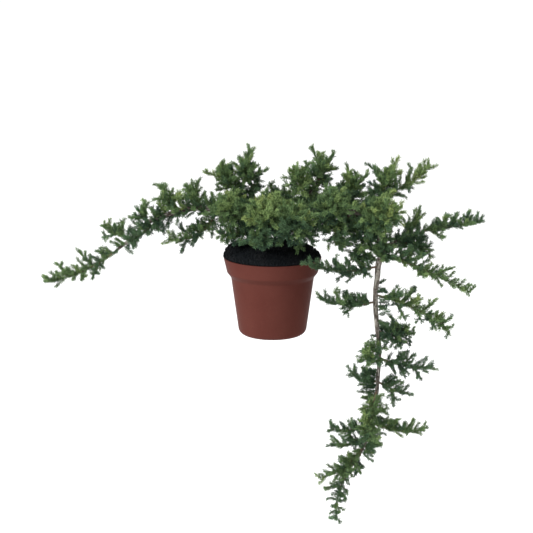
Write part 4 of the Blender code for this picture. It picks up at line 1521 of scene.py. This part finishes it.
    def shoots_of(
        self, mass: Mass, path: Line, stem: Twig, spaces: "Spaces", rng: Random
    ) -> list[Twig]:
        """The side shoots of a mass, each the longest that keeps to its space and off the others.

        Args:
            mass: the mass.
            path: its stem's line.
            stem: its stem.
            spaces: the masses' spaces.
            rng: its random numbers.

        Returns:
            The same shoots as the mass's solid has.
        """
        bare = mass.core * MM * self.core_bare
        places = self.dense_headings if mass.core else self.open_headings
        shoots: list[Twig] = []
        taken = self.clothed_points(stem)

        def fits(twig: Twig) -> bool:
            """Whether a shoot keeps off the others and in its space."""
            points = self.clothed_points(twig)
            apart = all((a - b).length > self.apart for a in points for b in taken)
            return bool(apart and spaces.holds(mass.name, self.outside_points(twig)).all())

        for base, headings, length in places(mass, path, rng):
            tries = (
                self.side_shoot(base, forward, length * share, bare, rng)
                for share in self.length_tries
                for forward in headings
                if length * share > bare + self.stretch / 2
            )
            shoot = next(filter(fits, tries), None)
            if shoot is not None:
                shoots.append(shoot)
                taken += self.clothed_points(shoot)
        return shoots


def leaning(forward: Vector, roll: float, lean: float, up: float) -> Vector:
    """A heading that leans off another one.

    Args:
        forward: the other heading.
        roll: the side that it leans to, round the other.
        lean: how far it leans, in radians.
        up: how strongly it is turned upwards.

    Returns:
        The heading.
    """
    level, upper = cross_basis(forward)
    around = cos(roll) * level + sin(roll) * upper
    return (cos(lean) * forward + sin(lean) * around + Vector((0, 0, up))).normalized()


@dataclass
class Spaces:
    """Each mass's own space: the points that lie nearer to its stem than to any other."""

    stems: dict[str, list[Vector]]
    wood: Wood
    pot_margin: float = 1 * MM
    heap_margin: float = 1.2 * MM

    def __post_init__(self) -> None:
        """Lays points along every stem."""
        rows = [self.wood.sampled(path, [0] * len(path))[:, :3] for path in self.stems.values()]
        self.sites = np.vstack(rows)
        self.owners = np.repeat(range(len(rows)), [len(points) for points in rows])
        self.index = {name: index for index, name in enumerate(self.stems)}

    def holds(
        self, name: str, points: Any, limb_margin: float = 1 * MM, space_margin: float = 0.8 * MM
    ) -> np.ndarray:
        """Whether each point is in a mass's space, off the wood and clear of the pot and mix.

        Args:
            name: the mass.
            points: the points.
            limb_margin: how far off the bark they have to be.
            space_margin: how much nearer to their own stem than to any other.

        Returns:
            One truth value for each point.
        """
        spots = np.asarray([tuple(point) for point in points])
        reach = np.linalg.norm(spots[:, None] - self.sites, axis=2)
        own = self.owners == self.index[name]
        inside = reach[:, own].min(axis=1) + space_margin < reach[:, ~own].min(axis=1)
        inside &= self.wood.clearance(spots) > limb_margin
        return inside & self.off_pot(spots)

    def owner(self, point: Vector) -> Mass:
        """The mass whose space a point lies in."""
        nearest = np.linalg.norm(self.sites - np.asarray(tuple(point)), axis=1).argmin()
        return MASSES[self.owners[nearest]]

    def off_pot(self, spots: np.ndarray) -> np.ndarray:
        """Whether each point is outside the pot and above the heap of potting mix."""
        radius = np.hypot(spots[:, 0], spots[:, 1])
        top = self.wood.mix.top(radius, np.arctan2(spots[:, 1], spots[:, 0]))
        over = spots[:, 2] > top + self.heap_margin
        return over | (radius > self.wood.mix.pot.lip_radius + self.pot_margin) | (spots[:, 2] < 0)


@dataclass(frozen=True)
class Build:
    """How a kind of shoot is built."""

    girth: float  # radius at its root
    tip_girth: float
    age: float  # from 0 for a green one to 1 for a brown one
    size: float  # of its needles, as a share of a whole one


@dataclass(frozen=True)
class Shoot:
    """A finished shoot: its line, where its needles start, its build, and its needles' tone."""

    path: tuple
    bare: float
    build: Build
    tone: Tone


@dataclass(frozen=True)
class Order:
    """An order of side shoots: how they stand on their parent, and how they are built."""

    every: float
    length: tuple[float, float]
    lean: float  # degrees
    upward: float
    bare: float
    build: Build


@dataclass(frozen=True)
class Clothing:
    """The stretch of a limb, in shares of its length, that bears shoots of its own."""

    limb: str
    first: float
    last: float
    every: float  # mm
    length: tuple[float, float]  # past the bark, mm
    side: tuple[float, float, float] | None = None  # the side they stand on, or None for all round


CLOTHINGS = (
    Clothing("trunk", .3, 1, 3.2, (7, 14)),
    Clothing("bough_left", .15, 1, 1.2, (10, 17)),
    Clothing("bough_left_outer", .03, .24, .9, (10, 16)),
    Clothing("bough_left_outer", .45, 1, 1.9, (7, 12)),
    Clothing("bough_right", .12, .8, 2.4, (8, 15)),
    Clothing("bough_right", .8, 1, .8, (9, 16)),
    Clothing("bough_far_right", .1, 1, 1.6, (8, 14)),
    Clothing("bough_upper_right", .15, 1, 1.5, (9, 15)),
    Clothing("bough_crown_right", .2, 1, 2.2, (8, 15)),
    Clothing("bough_front", .3, 1, 3.2, (7, 13)),
    Clothing("bough_cascade", 0, .08, .7, (7, 13), (0, -1, 0)),
    Clothing("bough_cascade", .03, .08, 2.4, (6, 10), (1, 0, 0)),
    Clothing("bough_cascade", .2, .46, 3.4, (8, 13), (1, 0, 0)),
    Clothing("bough_cascade", .6, .74, 1.7, (7, 18), (-1, 0, 0)),
    Clothing("bough_cascade", .76, 1, 1.6, (7, 13)),
    Clothing("bough_cascade", .9, 1, 1.2, (10, 16), (1, 0, 0)),
)


@dataclass(frozen=True)
class ShootRule:
    """How the solids' twigs go on to finer shoots, and how those are clothed."""

    needle: float = 3.5 * MM
    needle_lengths: tuple[float, float] = (0.75, 1.2)  # shares of that length
    needle_width: float = 1.35 * MM
    needle_depth: float = 0.3 * MM
    needle_foot: float = 0.1 * MM
    broadest: float = 0.55  # where along a needle
    splay: tuple[float, float] = (44, 60)  # degrees
    closing: tuple[float, float] = (8, 20)  # how far a needle's point bends in again, degrees
    tip_short: float = 1.8 * MM  # how far a line ends before the tip of its last needles
    stem_bare: float = 0.08
    dense_stem_bare: float = 0.3
    foot_bare: float = 1.0 * MM
    core_bare: float = 0.4
    sunk: float = 0.35  # where a stem starts in its limb, 0 for the limb's middle
    first: float = 2.0 * MM
    last: float = 0.8 * MM
    unevenness: tuple[float, float] = (0.75, 1.25)  # of the steps between shoots
    roll_spread: float = 0.3
    shortest: float = 1.8 * MM
    straight: float = 6 * MM  # a shoot up to this long is a straight line
    lean_spread: float = 10
    tries: int = 5
    limb_margin: float = 1.6 * MM
    space_margin: float = -2.0 * MM
    filler_area: float = 75 * MM * MM  # of a dense mass's surface, for each filling shoot
    filler_length: tuple[float, float] = (0.8, 1.15)
    bend: float = 0.10
    stem: Build = Build(1.15 * MM, 0.50 * MM, 1.0, 1.0)
    side_shoot: Build = Build(0.75 * MM, 0.40 * MM, 0.55, 1.0)
    filler: Build = Build(0.60 * MM, 0.40 * MM, 0.40, 0.95)
    branchlets: Order = Order(
        2.7 * MM, (8 * MM, 16 * MM), 48, 0.38, 0.7 * MM, Build(0.55 * MM, 0.36 * MM, 0.45, 1.0)
    )
    side_branchlets: Order = Order(
        4.6 * MM, (5 * MM, 9 * MM), 48, 0.34, 0.6 * MM, Build(0.45 * MM, 0.32 * MM, 0.30, 0.96)
    )
    sprays: Order = Order(
        2.8 * MM, (1.8 * MM, 3.2 * MM), 44, 0.12, 0.4 * MM, Build(0.34 * MM, 0.24 * MM, 0.15, 0.80)
    )
    sprout: Build = Build(0.50 * MM, 0.34 * MM, 0.35, 0.97)
    sprout_tries: int = 9
    sprout_lean: tuple[float, float] = (40, 82)
    sprout_upward: float = 0.40
    sprout_side: float = 0.6  # the least cosine to a given side
    sprout_bare: float = 0.5 * MM  # past the bark

    def curved(self, base: Vector, forward: Vector, length: float, rng: Random) -> tuple:
        """A slightly bent line, which turns up towards its tip.

        Args:
            base: its root.
            forward: its heading there.
            length: its length.
            rng: its random numbers.

        Returns:
            Its points.
        """
        if length < self.straight:
            return base, base + forward * length
        level, upper = cross_basis(forward)
        sideways = rng.uniform(-1, 1) * self.bend * length * 0.6
        lifting = self.bend * length * rng.uniform(0.2, 1.2)
        points = []
        for share in (0, 0.5, 1):
            bow = share * share
            points.append(base + forward * length * share + level * sideways * bow + upper * lifting * bow)
        return tuple(points)

    def branch(
        self, mass: Mass, parent: Shoot, order: Order, spaces: Spaces, tone_of: Callable, rng: Random
    ) -> list[Shoot]:
        """The side shoots of an order that stand on a shoot.

        Args:
            mass: the mass that they belong to.
            parent: the shoot that they stand on.
            order: how they stand and how they are built.
            spaces: the masses' spaces.
            tone_of: gives a shoot's tone from its parent's and from how near the tip it stands.
            rng: their random numbers.

        Returns:
            The shoots that keep to the mass's space.
        """
        length = path_length(parent.path)
        made, reached, roll = [], max(self.first, parent.bare * 0.9), rng.uniform(0, tau)
        while reached < length - self.last:
            share = reached / length
            base, forward = point_along(parent.path, share)
            for _ in range(self.tries):
                roll += GOLDEN_ANGLE + rng.uniform(-self.roll_spread, self.roll_spread)
                lean = radians(order.lean + rng.uniform(-self.lean_spread, self.lean_spread))
                direction = leaning(forward, roll, lean, order.upward + mass.up * 0.5)
                reach = max(self.shortest, rng.uniform(*order.length) * (1.15 - 0.45 * share))
                path = self.curved(base, direction, reach, rng)
                if spaces.holds(mass.name, path[1:], self.limb_margin, self.space_margin).all():
                    made.append(Shoot(path, order.bare, order.build, tone_of(parent.tone, share, rng)))
                    break
            reached += order.every * rng.uniform(*self.unevenness)
        return made


@dataclass
class Foliage:
    """Every mass of needles on the plant."""

    wood: Wood
    twigs: TwigRule = field(default_factory=TwigRule)
    rule: ShootRule = field(default_factory=ShootRule)
    spacing: float = 1.0 * MM
    stem_sides: int = 8
    twig_sides: int = 3
    thick: float = 0.7 * MM  # girth from which a shoot counts as a stem
    variants: int = 8
    seed: int = 500  # what is added to a mass's own for its finer shoots
    sprout_seed: int = 900
    whorl_seed: int = 41
    whorl_turn: float = 0.25  # how unevenly a whorl's needles stand round the twig
    sizes: tuple[float, float] = (0.74, 1.16)
    closing: float = 2.5 * MM  # how far from a shoot's tip its needles begin to close in
    narrowed: float = 0.22
    lengthened: float = 0.05
    outward_light: float = 1.5
    upward_light: float = 0.45
    uneven: float = 0.5
    finish: TwigFinish = field(default_factory=TwigFinish)
    shoots: dict[Region, list[Shoot]] = field(default_factory=lambda: defaultdict(list))

    levels: ClassVar[dict[str, float]] = {"deep": 0.95, "mid": 1.5, "fresh": 2.0}
    tones: ClassVar[tuple[Tone, ...]] = tuple(Tone)

    def dealt(self, mass: Mass, foot: Vector, line: Line, rng: Random) -> Tone:
        """The tone of one spray, as painted light and shade: lighter far out and facing up, darker inside
        and below.

        Args:
            mass: the mass that it belongs to.
            foot: where the mass's stem leaves its limb.
            line: the spray's line.
            rng: its random numbers.

        Returns:
            The tone.
        """
        out = min(1.0, (line[-1] - foot).length / ((mass.length + 0.8 * mass.reach) * MM))
        level = self.levels[mass.tone] + self.outward_light * (out - 0.6)
        level += self.upward_light * (line[-1] - line[0]).normalized().z + rng.gauss(0, self.uneven)
        return self.tone_at(level)

    def nearby(self, tone: Tone, share: float, rng: Random) -> Tone:
        """The tone of a finer shoot: mostly its parent's, and lighter towards its parent's tip.

        Args:
            tone: its parent's tone.
            share: where on its parent it stands, from 0 to 1.
            rng: its random numbers.

        Returns:
            The tone.
        """
        step = rng.choices((-1, 0, 1), (0.16 - 0.12 * share, 0.74, 0.06 + 0.16 * share))[0]
        return self.tone_at(self.tones.index(tone) + step)

    def tone_at(self, level: float) -> Tone:
        """The tone nearest to a level, from 0 for the darkest."""
        return self.tones[min(len(self.tones) - 1, max(0, round(level)))]

    def grow(self) -> None:
        """Grows every mass's shoots."""
        stems = {mass.name: self.twigs.stem_path(mass, self.wood) for mass in MASSES}
        spaces = Spaces(stems, self.wood)
        for mass in MASSES:
            path, rng = stems[mass.name], Random(mass.seed)
            stem = self.twigs.stem_twig(mass, path, rng)
            if mass.core:
                for _ in range(self.twigs.core_draws):
                    rng.uniform(0, 1)
            sides = self.twigs.shoots_of(mass, path, stem, spaces, rng)
            self.shoots[mass.region] += self.clothe(mass, stem, sides, spaces)
        for index, clothing in enumerate(CLOTHINGS):
            self.sprout(clothing, spaces, Random(self.sprout_seed + index))

    def sprout(self, clothing: Clothing, spaces: Spaces, rng: Random) -> None:
        """Grows short shoots straight from a limb, each in the space of the mass that stands nearest.

        Args:
            clothing: the stretch of the limb, and how its shoots stand.
            spaces: the masses' spaces.
            rng: their random numbers.
        """
        rule, path = self.rule, self.wood.paths[clothing.limb]
        limb = next(limb for limb in LIMBS if limb.name == clothing.limb)
        length = path_length(path)
        reached, last, roll = clothing.first * length, clothing.last * length, 0.0
        shortest, longest = (MM * bound for bound in clothing.length)
        while reached < last:
            share = reached / length
            base, forward = point_along(path, share)
            radius = self.wood.radius_at(limb, share, base)
            for _ in range(rule.sprout_tries):
                roll += GOLDEN_ANGLE + rng.uniform(-rule.roll_spread, rule.roll_spread)
                lean = radians(rng.uniform(*rule.sprout_lean))
                direction = leaning(forward, roll, lean, rule.sprout_upward)
                if clothing.side and direction.dot(Vector(clothing.side)) < rule.sprout_side:
                    continue
                line = rule.curved(base, direction, radius + rng.uniform(shortest, longest), rng)
                mass = spaces.owner(line[-1])
                if spaces.holds(mass.name, line[-1:], rule.limb_margin, rule.space_margin).all():
                    tone = self.dealt(mass, base, line, rng)
                    made = Shoot(line, radius + rule.sprout_bare, rule.sprout, tone)
                    finer = rule.branch(mass, made, rule.sprays, spaces, self.nearby, rng)
                    self.shoots[mass.region] += [made, *finer]
                    break
            reached += clothing.every * MM * rng.uniform(*rule.unevenness)

    def clothe(self, mass: Mass, stem: Twig, sides: Sequence[Twig], spaces: Spaces) -> list[Shoot]:
        """Turns a mass's twigs into shoots, and adds the finer ones.

        Args:
            mass: the mass.
            stem: its stem.
            sides: its side shoots.
            spaces: the masses' spaces.

        Returns:
            All the shoots of the mass.
        """
        rng = Random(mass.seed + self.seed)
        rule, core = self.rule, mass.core * MM
        line = [self.sunk_foot(mass, stem.path[0]), *smooth_path(stem.path, 3)]
        bare = path_length(line) * (rule.dense_stem_bare if core else rule.stem_bare)
        bare = max(bare, (line[1] - line[0]).length + rule.foot_bare)
        tone = self.dealt(mass, line[0], line, rng)
        main = Shoot(self.shortened(line), bare, rule.stem, tone)
        bare = max(rule.foot_bare, core * rule.core_bare)
        carriers = []
        for side in sides:
            tone = self.dealt(mass, line[0], side.path, rng)
            carriers.append(Shoot(self.shortened(side.path), bare, rule.side_shoot, tone))
        if core:
            carriers += self.fillers(mass, stem, spaces, rng)
        for side in list(carriers):
            carriers += rule.branch(mass, side, rule.side_branchlets, spaces, self.nearby, rng)
        carriers += rule.branch(mass, main, rule.branchlets, spaces, self.nearby, rng)
        made = [main, *carriers]
        for carrier in [main, *carriers]:
            made += rule.branch(mass, carrier, rule.sprays, spaces, self.nearby, rng)
        return made

    def sunk_foot(self, mass: Mass, foot: Vector) -> Vector:
        """A point inside the limb that a mass's stem grows from, behind the stem's foot."""
        inner, forward = point_along(self.wood.paths[mass.limb], mass.along)
        return inner - forward * MM if mass.along == 1 else inner.lerp(foot, self.rule.sunk)

    def fillers(self, mass: Mass, stem: Twig, spaces: Spaces, rng: Random) -> list[Shoot]:
        """The shoots that fill a dense mass, all round its middle.

        Args:
            mass: the mass.
            stem: its stem.
            spaces: the masses' spaces.
            rng: their random numbers.

        Returns:
            The shoots that keep to the mass's space.
        """
        rule, core = self.rule, mass.core * MM
        count = round(4 * pi * core * core / rule.filler_area)
        made = []
        for root, outward in self.twigs.spiral(mass, stem.path, count, rng):
            reach = core * rng.uniform(*rule.filler_length) + 2 * MM
            for share in self.twigs.length_tries:
                path = rule.curved(root, outward, reach * share, rng)
                if spaces.holds(mass.name, path[1:], rule.limb_margin, rule.space_margin).all():
                    tone = self.dealt(mass, stem.path[0], path, rng)
                    made.append(Shoot(path, core * rule.core_bare, rule.filler, tone))
                    break
        return made

    def shortened(self, path: Line) -> tuple:
        """Shortens a line by what its last needles stand out.

        Args:
            path: the line.

        Returns:
            The shorter line.
        """
        length = path_length(path)
        share = max(0.5, 1 - self.rule.tip_short / length)
        tip, _ = point_along(path, share)
        kept, reached = [path[0]], 0.0
        for a, b in pairwise(path):
            reached += (b - a).length
            if reached < share * length - 0.1 * MM:
                kept.append(b)
        return (*kept, tip)

    def build(self) -> None:
        """Makes the needles of each region and tone, and the twigs of each region."""
        whorls = self.whorl_variants()
        needle_tree, twig_tree = self.needle_tree(), self.twig_tree()
        twig_material = self.finish.material()
        needles = [(finish, finish.material()) for finish in NEEDLE_FINISHES]
        for region, shoots in self.shoots.items():
            nodes = [mass.name for mass in MASSES if mass.region is region]
            for finish, material in needles:
                ours = [shoot for shoot in shoots if shoot.tone is finish.tone]
                if not ours:
                    continue
                values = {"Spacing": self.spacing, "Variants": whorls, "Seed": 1, "Material": material}
                mesh = needle_tree.grow("needles", self.lines(ours, True), values)
                name = f"needles_{region.value}_{finish.tone.value}"
                add_piece(name, mesh, material, finish.slot, nodes)
            for kind, sides in (("stems", self.stem_sides), ("twigs", self.twig_sides)):
                ours = [shoot for shoot in shoots if (shoot.build.girth > self.thick) == (kind == "stems")]
                values = {"Material": twig_material, "Sides": sides}
                mesh = twig_tree.grow(kind, self.lines(ours, False), values)
                add_piece(f"{kind}_{region.value}", mesh, twig_material, "bark", nodes, smooth=True)
        clear_variants(whorls)

    def lines(self, shoots: Sequence[Shoot], clothed: bool) -> Mesh:
        """A mesh of the shoots' lines, with what the growth reads on its points.

        Args:
            shoots: the shoots.
            clothed: whether the lines start where the needles do.

        Returns:
            The mesh, with the attributes girth, age, size and closing.
        """
        points, edges = [], []
        values: dict[str, list[float]] = {"girth": [], "age": [], "size": [], "closing": []}
        for shoot in shoots:
            build, length = shoot.build, path_length(shoot.path)
            start = shoot.bare if clothed else 0.0
            places = [0.0]
            for a, b in pairwise(shoot.path):
                places.append(places[-1] + (b - a).length)
            places = [start, *(place for place in places if place > start + 0.3 * MM)]
            for k, place in enumerate(places):
                share = place / length
                if k:
                    edges.append((len(points) - 1, len(points)))
                points.append(point_along(shoot.path, min(share, 1.0))[0])
                values["girth"].append(build.girth + (build.tip_girth - build.girth) * share)
                values["age"].append(build.age * (1 - 0.8 * share))
                values["size"].append(build.size)
                values["closing"].append(max(0.0, 1 - (length - place) / self.closing))
        mesh = bpy.data.meshes.new("lines")
        mesh.from_pydata(points, edges, [])
        for name, numbers in values.items():
            mesh.attributes.new(name, "FLOAT", "POINT").data.foreach_set("value", numbers)
        return mesh

    def whorl_variants(self) -> Collection:
        """A few whorls of three needles each, along +Z.

        Returns:
            The collection of the whorls.
        """
        variants = new_collection("whorls")
        rng = Random(self.whorl_seed)
        for _ in range(self.variants):
            shape = bmesh.new()
            for k in range(3):
                turn = tau * k / 3 + rng.uniform(-self.whorl_turn, self.whorl_turn)
                self.needle(shape, turn, rng)
            bmesh.ops.recalc_face_normals(shape, faces=shape.faces)
            mesh = mesh_of("whorl", shape)
            # the needles' material turns this into painted shade at the root and a painted highlight at the
            # point
            along = [0.0, 0.55, 0.55, 1.0] * 3  # from each needle's root to its point
            mesh.attributes.new("along", "FLOAT", "POINT").data.foreach_set("value", along)
            variants.objects.link(bpy.data.objects.new("whorl", mesh))
        return variants

    def needle(self, shape: bmesh.types.BMesh, turn: float, rng: Random) -> None:
        """Adds one needle: ridged above, broadest past its middle, and bent in to its point.

        Args:
            shape: what the needle is added to.
            turn: its side of the twig.
            rng: its random numbers.
        """
        rule = self.rule
        length = rule.needle * rng.uniform(*rule.needle_lengths)
        splay = radians(rng.uniform(*rule.splay))
        outward = Vector((cos(turn), sin(turn), 0))
        across = Vector((-sin(turn), cos(turn), 0))
        up = Vector((0, 0, 1))
        forward = cos(splay) * up + sin(splay) * outward
        under = sin(splay) * up - cos(splay) * outward
        tip_splay = splay - radians(rng.uniform(*rule.closing))
        middle = forward * length * rule.broadest
        bent = cos(tip_splay) * up + sin(tip_splay) * outward
        tip = middle + bent * length * (1 - rule.broadest)
        middle = middle - under * rule.needle_depth
        root = shape.verts.new(outward * rule.needle_foot)
        left = shape.verts.new(middle - across * rule.needle_width / 2)
        right = shape.verts.new(middle + across * rule.needle_width / 2)
        tip = shape.verts.new(tip)
        for corners in ((root, left, right), (tip, right, left), (root, right, tip), (root, tip, left)):
            shape.faces.new(corners)

    def needle_tree(self) -> Growth:
        """The tree that sets a whorl on each short stretch of the shoots' lines.

        Returns:
            The tree, with the inputs Spacing, Variants, Seed and Material.
        """
        tree = Growth("needle whorls")
        spacing = tree.input("Spacing", "Float")
        variants = tree.input("Variants", "Collection")
        seed = tree.input("Seed", "Int")
        curve = tree.node("GeometryNodeMeshToCurve", inputs={"Mesh": tree.base})
        curve = tree.node(
            "GeometryNodeResampleCurve", {"mode": "LENGTH"}, {"Curve": curve, "Length": spacing}
        )
        tangent = tree.node("GeometryNodeInputTangent")
        along = tree.node("FunctionNodeAlignRotationToVector", {"axis": "Z"}, {"Vector": tangent})
        index = tree.node("GeometryNodeInputIndex")
        roll = index * (pi / 3) + tree.chance(-self.rule.roll_spread, self.rule.roll_spread, seed)
        spin = tree.node("FunctionNodeAxisAngleToRotation", inputs={"Axis": (0, 0, 1), "Angle": roll})
        turns = {"Rotation": along, "Rotate By": spin}
        turned = tree.node("FunctionNodeRotateRotation", {"rotation_space": "LOCAL"}, turns)
        size = tree.named("size") * tree.chance(*self.sizes, seed + 1)
        closing = tree.named("closing")
        wide = size * (1 - closing * self.narrowed)
        long = size * (1 + closing * self.lengthened)
        scale = tree.node("ShaderNodeCombineXYZ", inputs={"X": wide, "Y": wide, "Z": long})
        tree.close(tree.scatter(curve, variants, tree.pick(self.variants, seed + 2), turned, scale))
        return tree

    def twig_tree(self) -> Growth:
        """The tree that gives the shoots' lines their thickness.

        Returns:
            The tree, with the inputs Sides and Material.
        """
        tree = Growth("twig tubes")
        sides = tree.input("Sides", "Int")
        curve = tree.node("GeometryNodeMeshToCurve", inputs={"Mesh": tree.base})
        profile = tree.node(
            "GeometryNodeCurvePrimitiveCircle", inputs={"Resolution": sides, "Radius": 1.0}
        )
        girth = tree.named("girth")
        values = {"Curve": curve, "Profile Curve": profile, "Scale": girth, "Fill Caps": True}
        tree.close(tree.node("GeometryNodeCurveToMesh", inputs=values))
        return tree


# The studio


@dataclass(frozen=True)
class Studio:
    """A pale floor far below the hanging bough, soft light, and the camera of the photograph."""

    target: tuple[float, float, float] = (-6.3 * MM, 0, 71.3 * MM)
    distance: float = 1.5
    elevation: float = 12.5  # degrees
    metres_to_a_pixel: float = 1.04 * MM
    pixels: int = 533
    sensor: float = 36  # mm
    floor: float = -0.42
    floor_size: float = 60.0
    surroundings: float = 1.12
    # each light's name, place, size and power
    lights: tuple = (("key", (-2.2, -1.3, 1.5), 1.3, 98), ("top", (0.0, 0.3, 2.4), 1.6, 14))

    def build(self) -> None:
        """Makes the floor, the lights and the camera."""
        self.lay_floor()
        for light in self.lights:
            self.light(*light)
        world = bpy.data.worlds.new("pale surroundings")
        world.use_nodes = True
        background = world.node_tree.nodes["Background"]
        background.inputs["Color"].default_value = (1, 1, 1, 1)
        background.inputs["Strength"].default_value = self.surroundings
        bpy.context.scene.world = world
        bpy.context.scene.view_settings.view_transform = "Standard"
        self.place_camera()

    def lay_floor(self) -> None:
        """Lays the floor."""
        half = self.floor_size / 2
        mesh = bpy.data.meshes.new("floor")
        corners = [(-half, -half), (half, -half), (half, half), (-half, half)]
        mesh.from_pydata([(x, y, self.floor) for x, y in corners], [], [(0, 1, 2, 3)])
        floor = add_object("floor", mesh)
        mesh.materials.append(Shader("pale floor", (0.93, 0.93, 0.93, 1), 0.9).material)

    def light(self, name: str, place: tuple, size: float, watts: float) -> None:
        """Hangs a soft square light that faces the plant.

        Args:
            name: the light's name.
            place: where it hangs.
            size: the length of its side.
            watts: its power.
        """
        lamp = bpy.data.lights.new(name, "AREA")
        lamp.size, lamp.energy = size, watts
        made = add_object(name, lamp)
        made.location = place
        made.rotation_euler = (Vector(self.target) - Vector(place)).to_track_quat("-Z", "Y").to_euler()

    def place_camera(self) -> None:
        """Sets up the camera at the photograph's angle and framing."""
        rise = radians(self.elevation)
        target = Vector(self.target)
        back = Vector((0, -cos(rise), sin(rise)))
        lens = bpy.data.cameras.new("camera")
        lens.sensor_width = self.sensor
        lens.lens = self.sensor * self.distance / (self.pixels * self.metres_to_a_pixel)
        lens.clip_start, lens.clip_end = 0.05, 100
        camera = add_object("camera", lens)
        camera.location = target + back * self.distance
        camera.rotation_euler = (-back).to_track_quat("-Z", "Y").to_euler()
        bpy.context.scene.camera = camera


def main() -> None:
    """Builds every part of the plant and the studio, and writes how large they came out."""
    logging.basicConfig(level=logging.INFO, format="%(name)s: %(message)s")
    pot = Pot()
    pot.build()
    mix = PottingMix(pot)
    mix.build()
    wood = Wood(mix)
    wood.grow()
    wood.build()
    foliage = Foliage(wood)
    foliage.grow()
    foliage.build()
    Studio().build()
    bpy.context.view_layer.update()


if __name__ == "__main__":
    main()
